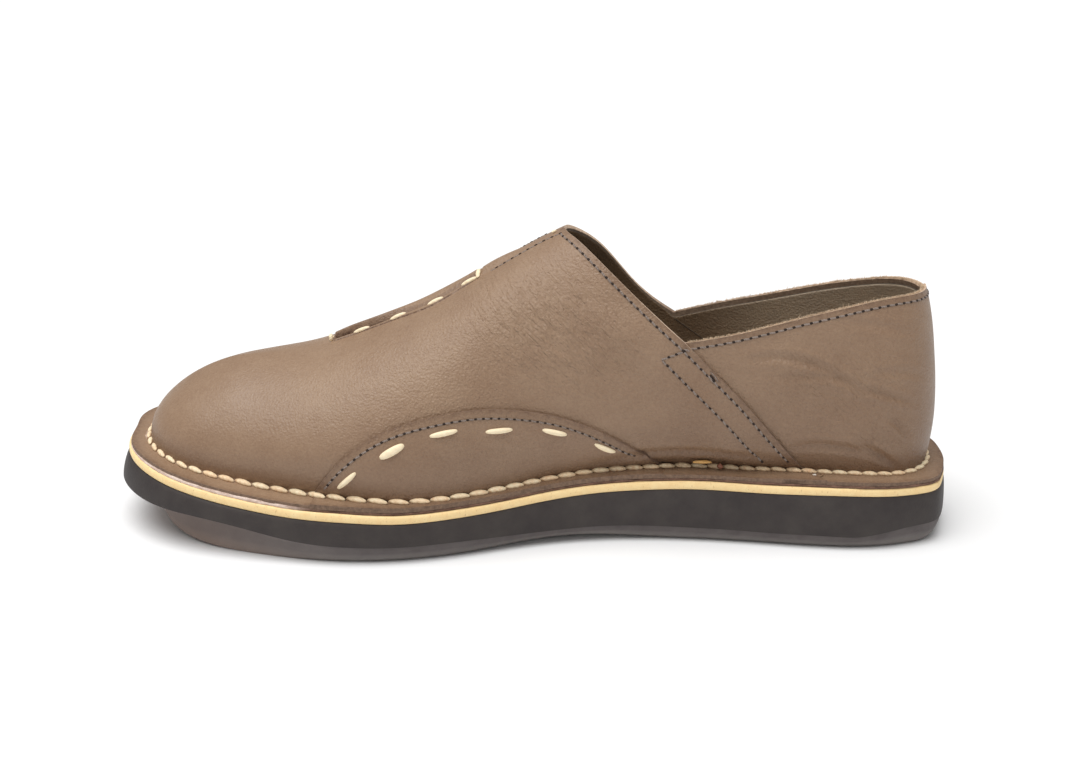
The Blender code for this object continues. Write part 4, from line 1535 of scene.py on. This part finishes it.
def leather(name, light, dark, rough):
    """Soft full-grain leather: cloudy tone, a fine grain, wrinkles, and painted shade where their layers say.
    """
    shader = Shader(name)
    clouds = shader.spread(shader.noise(30, 3, 0.5), 0.35, 0.65)
    mottle = shader.spread(shader.noise(8, 5, 0.6), 0.3, 0.7)
    fine = shader.spread(shader.noise(1.1, 2, 0.6), 0.3, 0.7)
    tone = shader.math("MULTIPLY_ADD", mottle, 0.25, shader.math("MULTIPLY", clouds, 0.35))
    tone = shader.math("MULTIPLY_ADD", fine, 0.4, tone)
    colour = shader.tones(tone, light, dark)
    grain = shader.noise(0.7, 3, 0.6)
    pits = shader.spread(grain, 0.36, 0.52, 0.1, 0.0)
    colour = shader.mix(pits, colour, linear(dark), "MULTIPLY")
    wear_and_painted_light = shader.spread(shader.noise(1.8, 5, 0.7), 0.4, 0.6, 0.15, 0.5)
    edge = shader.math("MULTIPLY", shader.layer("edge"), wear_and_painted_light)
    colour = shader.mix(edge, colour, linear(dark), "MULTIPLY")
    # painted shade: the shade layer darkens the colour where shade falls
    shade = shader.math("MULTIPLY", shader.layer("shade"), 0.35)
    colour = shader.mix(shade, colour, linear(dark), "MULTIPLY")
    slant = shader.stretch(4.5, 4.5, 1.0, (0.0, 0.75, 0.0))
    folds = shader.math("MULTIPLY", shader.noise(1.5, 3, 0.55, slant), shader.layer("wrinkle"))
    normal = shader.bump(folds, 1.7)
    normal = shader.bump(shader.noise(3.4, 3, 0.6), 0.16, normal)
    pebble = shader.math("MULTIPLY_ADD", shader.cells(0.9), 0.5, grain)
    toe = shader.spread(shader.axis("X", -0.03, -0.09), 0.0, 1.0, 1.0, 0.45)
    normal = shader.bump(shader.math("MULTIPLY", pebble, toe), 0.32, normal)
    shine = shader.math("MULTIPLY_ADD", shader.noise(9, 3), 0.14, rough - 0.07)
    return shader.finish(colour, shine, normal, Specular_IOR_Level=0.55)


def fibre(name, light, dark):
    """Raw cut leather: short fibres and dark pits."""
    shader = Shader(name)
    tone = shader.spread(shader.noise(1.2, 5, 0.75), 0.34, 0.66)
    colour = shader.tones(tone, light, dark)
    normal = shader.bump(shader.noise(0.45, 3, 0.7), 0.12)
    return shader.finish(colour, 0.85, normal)


def cut_edge(name):
    """The leather's cut edge: burnished and dark round the flange; pale at the top, both raw leather and a
    painted highlight on the collar's rim.
    """
    shader = Shader(name)
    tone = shader.spread(shader.noise(1.2, 5, 0.75), 0.34, 0.66)
    low = shader.tones(tone, (138, 112, 92), (98, 77, 62))
    high = shader.tones(tone, (226, 200, 174), (182, 154, 130))
    # the pale top is partly the raw edge's own colour and partly a painted highlight on the rim
    colour = shader.mix(shader.axis("Z", 0.066, 0.078), low, high)
    normal = shader.bump(shader.noise(0.45, 3, 0.7), 0.1)
    return shader.finish(colour, 0.75, normal)


def rand_edge(name):
    """The lining's turned-out edge: torn and pale round the toe, dirty red-brown elsewhere."""
    shader = Shader(name)
    tone = shader.spread(shader.noise(1.6, 5, 0.8, shader.stretch(2.5, 2.5, 1.0)), 0.36, 0.64)
    torn = shader.tones(tone, (246, 226, 212), (188, 156, 138))
    dirty = shader.tones(tone, (134, 102, 84), (86, 62, 50))
    colour = shader.mix(shader.layer("toe"), dirty, torn)
    normal = shader.bump(shader.noise(0.5, 4, 0.8), 0.25)
    return shader.finish(colour, 0.9, normal)


def tan_edge(name):
    shader = Shader(name)
    tone = shader.spread(shader.noise(3.0, 4, 0.7), 0.3, 0.7)
    colour = shader.tones(tone, (255, 227, 170), (249, 213, 152))
    specks = shader.spread(shader.noise(0.55, 3, 0.7, shader.stretch(1, 1, 2.0)), 0.30, 0.40)
    colour = shader.mix(shader.math("MULTIPLY_ADD", specks, -0.45, 0.45), colour, linear((170, 120, 70)))
    normal = shader.bump(shader.noise(0.6, 3, 0.7), 0.05)
    return shader.finish(colour, 0.6, normal)


def rubber(name):
    """Black rubber with a fine dull skin; grey below the arris and paler at the tread and the toe, painted
    floor light on the rolled-under edge with some wear.
    """
    shader = Shader(name)
    clouds = shader.spread(shader.noise(11, 4, 0.6), 0.3, 0.7)
    fresh = shader.tones(clouds, (67, 61, 58), (54, 48, 47))
    scuff = shader.spread(shader.noise(7, 3, 0.6), 0.3, 0.7)
    # painted light: the grey and the paler tread and toe stand for the floor's light on the rolled-under
    # edge, with some wear
    grey = shader.tones(scuff, (99, 92, 90), (84, 77, 76))
    pale = shader.tones(shader.axis("X", -0.06, -0.11), (138, 132, 128), (142, 124, 114))
    wear_and_painted_light = shader.layer("wear_and_painted_light")
    toe = shader.axis("X", -0.05, -0.13)
    pallor = shader.math("MAXIMUM", shader.spread(wear_and_painted_light, 1.35, 2.0), shader.math("MULTIPLY", toe, 0.55))
    colour = shader.mix(shader.spread(wear_and_painted_light, 0.0, 1.0), fresh, shader.mix(pallor, grey, pale))
    dots = shader.spread(shader.cells(1.1), 0.1, 0.5)
    normal = shader.bump(dots, 0.04)
    normal = shader.bump(shader.noise(0.5, 3, 0.7), 0.04, normal)
    return shader.finish(colour, 0.62, normal, Specular_IOR_Level=0.35)


def thread(name, light, dark, rough, twist=0.12):
    """Twisted waxed thread: strands across it and painted shade on its underside."""
    shader = Shader(name)
    strand = shader.math("SINE", shader.math("MULTIPLY", shader.layer("strand"), 2 * np.pi))
    tone = shader.spread(shader.noise(1.3, 3, 0.7), 0.35, 0.7)
    shade = shader.math("ADD", shader.layer("shade"), shader.math("MULTIPLY", tone, 0.35))
    colour = shader.tones(shader.spread(shade, 0.0, 1.0), light, dark)
    normal = shader.bump(strand, twist)
    normal = shader.bump(shader.noise(0.3, 2), 0.06, normal)
    return shader.finish(colour, rough, normal)


def plain(name, colour, rough):
    shader = Shader(name)
    tone = shader.spread(shader.noise(2.0, 3), 0.3, 0.7, 0.85, 1.0)
    return shader.finish(shader.mix(1.0, linear(colour), tone, "MULTIPLY"), rough)


def plain_floor(name):
    shader = Shader(name)
    tone = shader.noise(400, 2)
    colour = shader.tones(tone, (246, 246, 246), (243, 243, 243))
    return shader.finish(colour, 0.9)


# ---------------------------------------------------------------- the shoe
BROWN = leather("brown_leather", (163, 135, 109), (142, 112, 87), 0.45)
RAW_EDGE = cut_edge("leather_edge")
RAW_INSIDE = fibre("leather_inside", (170, 145, 122), (130, 108, 90))
LINING = leather("lining_leather", (196, 174, 146), (164, 148, 128), 0.6)
# the lining's cut edge and its lap, darkened as painted shade under the hem and along the lap's edge
SHADED_LINING_EDGE = fibre("shaded_lining_edge", (98, 84, 68), (70, 59, 49))
FRAYED = fibre("frayed_leather", (238, 214, 184), (196, 166, 134))

vamp_net = add_vamp([BROWN, RAW_EDGE, RAW_INSIDE])
quarter_net = add_quarter([BROWN, RAW_EDGE, RAW_INSIDE])
patch_net = add_patch([BROWN, RAW_EDGE])
ridge_net = add_ridge([BROWN])
add_lining([LINING, SHADED_LINING_EDGE])
add_rand(rand_edge("rand_edge"))
add_lining_lap(SHADED_LINING_EDGE)
add_fuzz(FRAYED)
add_insole(leather("insole_leather", (150, 122, 96), (124, 98, 76), 0.55))
add_midsole(tan_edge("tan_edge"))
add_outsole(rubber("black_rubber"))
LEATHER_TOP = surface_tree(vamp_net, quarter_net, patch_net, ridge_net)
# each thread's second colour is the painted shade of its underside
add_lock_rows(LEATHER_TOP, thread("dark_thread", (156, 140, 130), (108, 95, 86), 0.6),
              # the needle holes' near black is painted shade inside the holes
              plain("needle_hole", (48, 36, 30), 0.9))
add_cream_stitches(LEATHER_TOP, thread("cream_thread", (255, 238, 204), (240, 208, 158), 0.55, 0.03))
add_rope(LEATHER_TOP, thread("rope_thread", (255, 240, 204), (226, 158, 98), 0.5, 0.06))
add_marks()


# ---------------------------------------------------------------- floor, light and camera
# the camera stands away from a pivot on the floor and is turned around it; metres and degrees
CAMERA_PIVOT = (-0.0007, 0.000252, 0.0)
CAMERA_AWAY = (0.0, -0.5, 0.2243)
CAMERA_AROUND = 1.0
CAMERA_TILT = 70.7
CAMERA_ROLL = 0.9
CAMERA_LENS = 49.2
CAMERA_SENSOR = 36.0


def add_floor():
    bpy.ops.mesh.primitive_circle_add(vertices=96, radius=6.0, fill_type="NGON")
    floor = bpy.context.object
    floor.name = "floor"
    floor.data.materials.append(plain_floor("floor"))


def add_sun(name, towards, spread, strength):
    """Broad soft light from one direction, as even over the floor as a large lamp high above."""
    light = bpy.data.lights.new(name, "SUN")
    light.angle = np.radians(spread)
    light.energy = strength
    made = bpy.data.objects.new(name, light)
    made.rotation_euler = (-Vector(towards)).to_track_quat("-Z", "Y").to_euler()
    bpy.context.scene.collection.objects.link(made)


def add_world(strength):
    world = bpy.data.worlds.new("studio")
    world.use_nodes = True
    background = world.node_tree.nodes["Background"]
    background.inputs["Color"].default_value = (1.0, 1.0, 1.0, 1.0)
    background.inputs["Strength"].default_value = strength
    bpy.context.scene.world = world


def rotation(degrees, axis):
    return Matrix.Rotation(np.radians(degrees), 4, axis)


def add_camera():
    camera = bpy.data.cameras.new("camera")
    camera.lens = CAMERA_LENS
    camera.sensor_width = CAMERA_SENSOR
    made = bpy.data.objects.new("camera", camera)
    bpy.context.scene.collection.objects.link(made)
    made.matrix_world = (Matrix.Translation(CAMERA_PIVOT) @ rotation(CAMERA_AROUND, "Z")
                         @ Matrix.Translation(CAMERA_AWAY) @ rotation(CAMERA_TILT, "X")
                         @ rotation(CAMERA_ROLL, "Z"))
    bpy.context.scene.camera = made


add_floor()
add_sun("key", towards=(-0.20, -0.16, 1.0), spread=50.0, strength=2.9)
add_world(strength=0.34)
add_camera()
bpy.context.scene.view_settings.view_transform = "Standard"
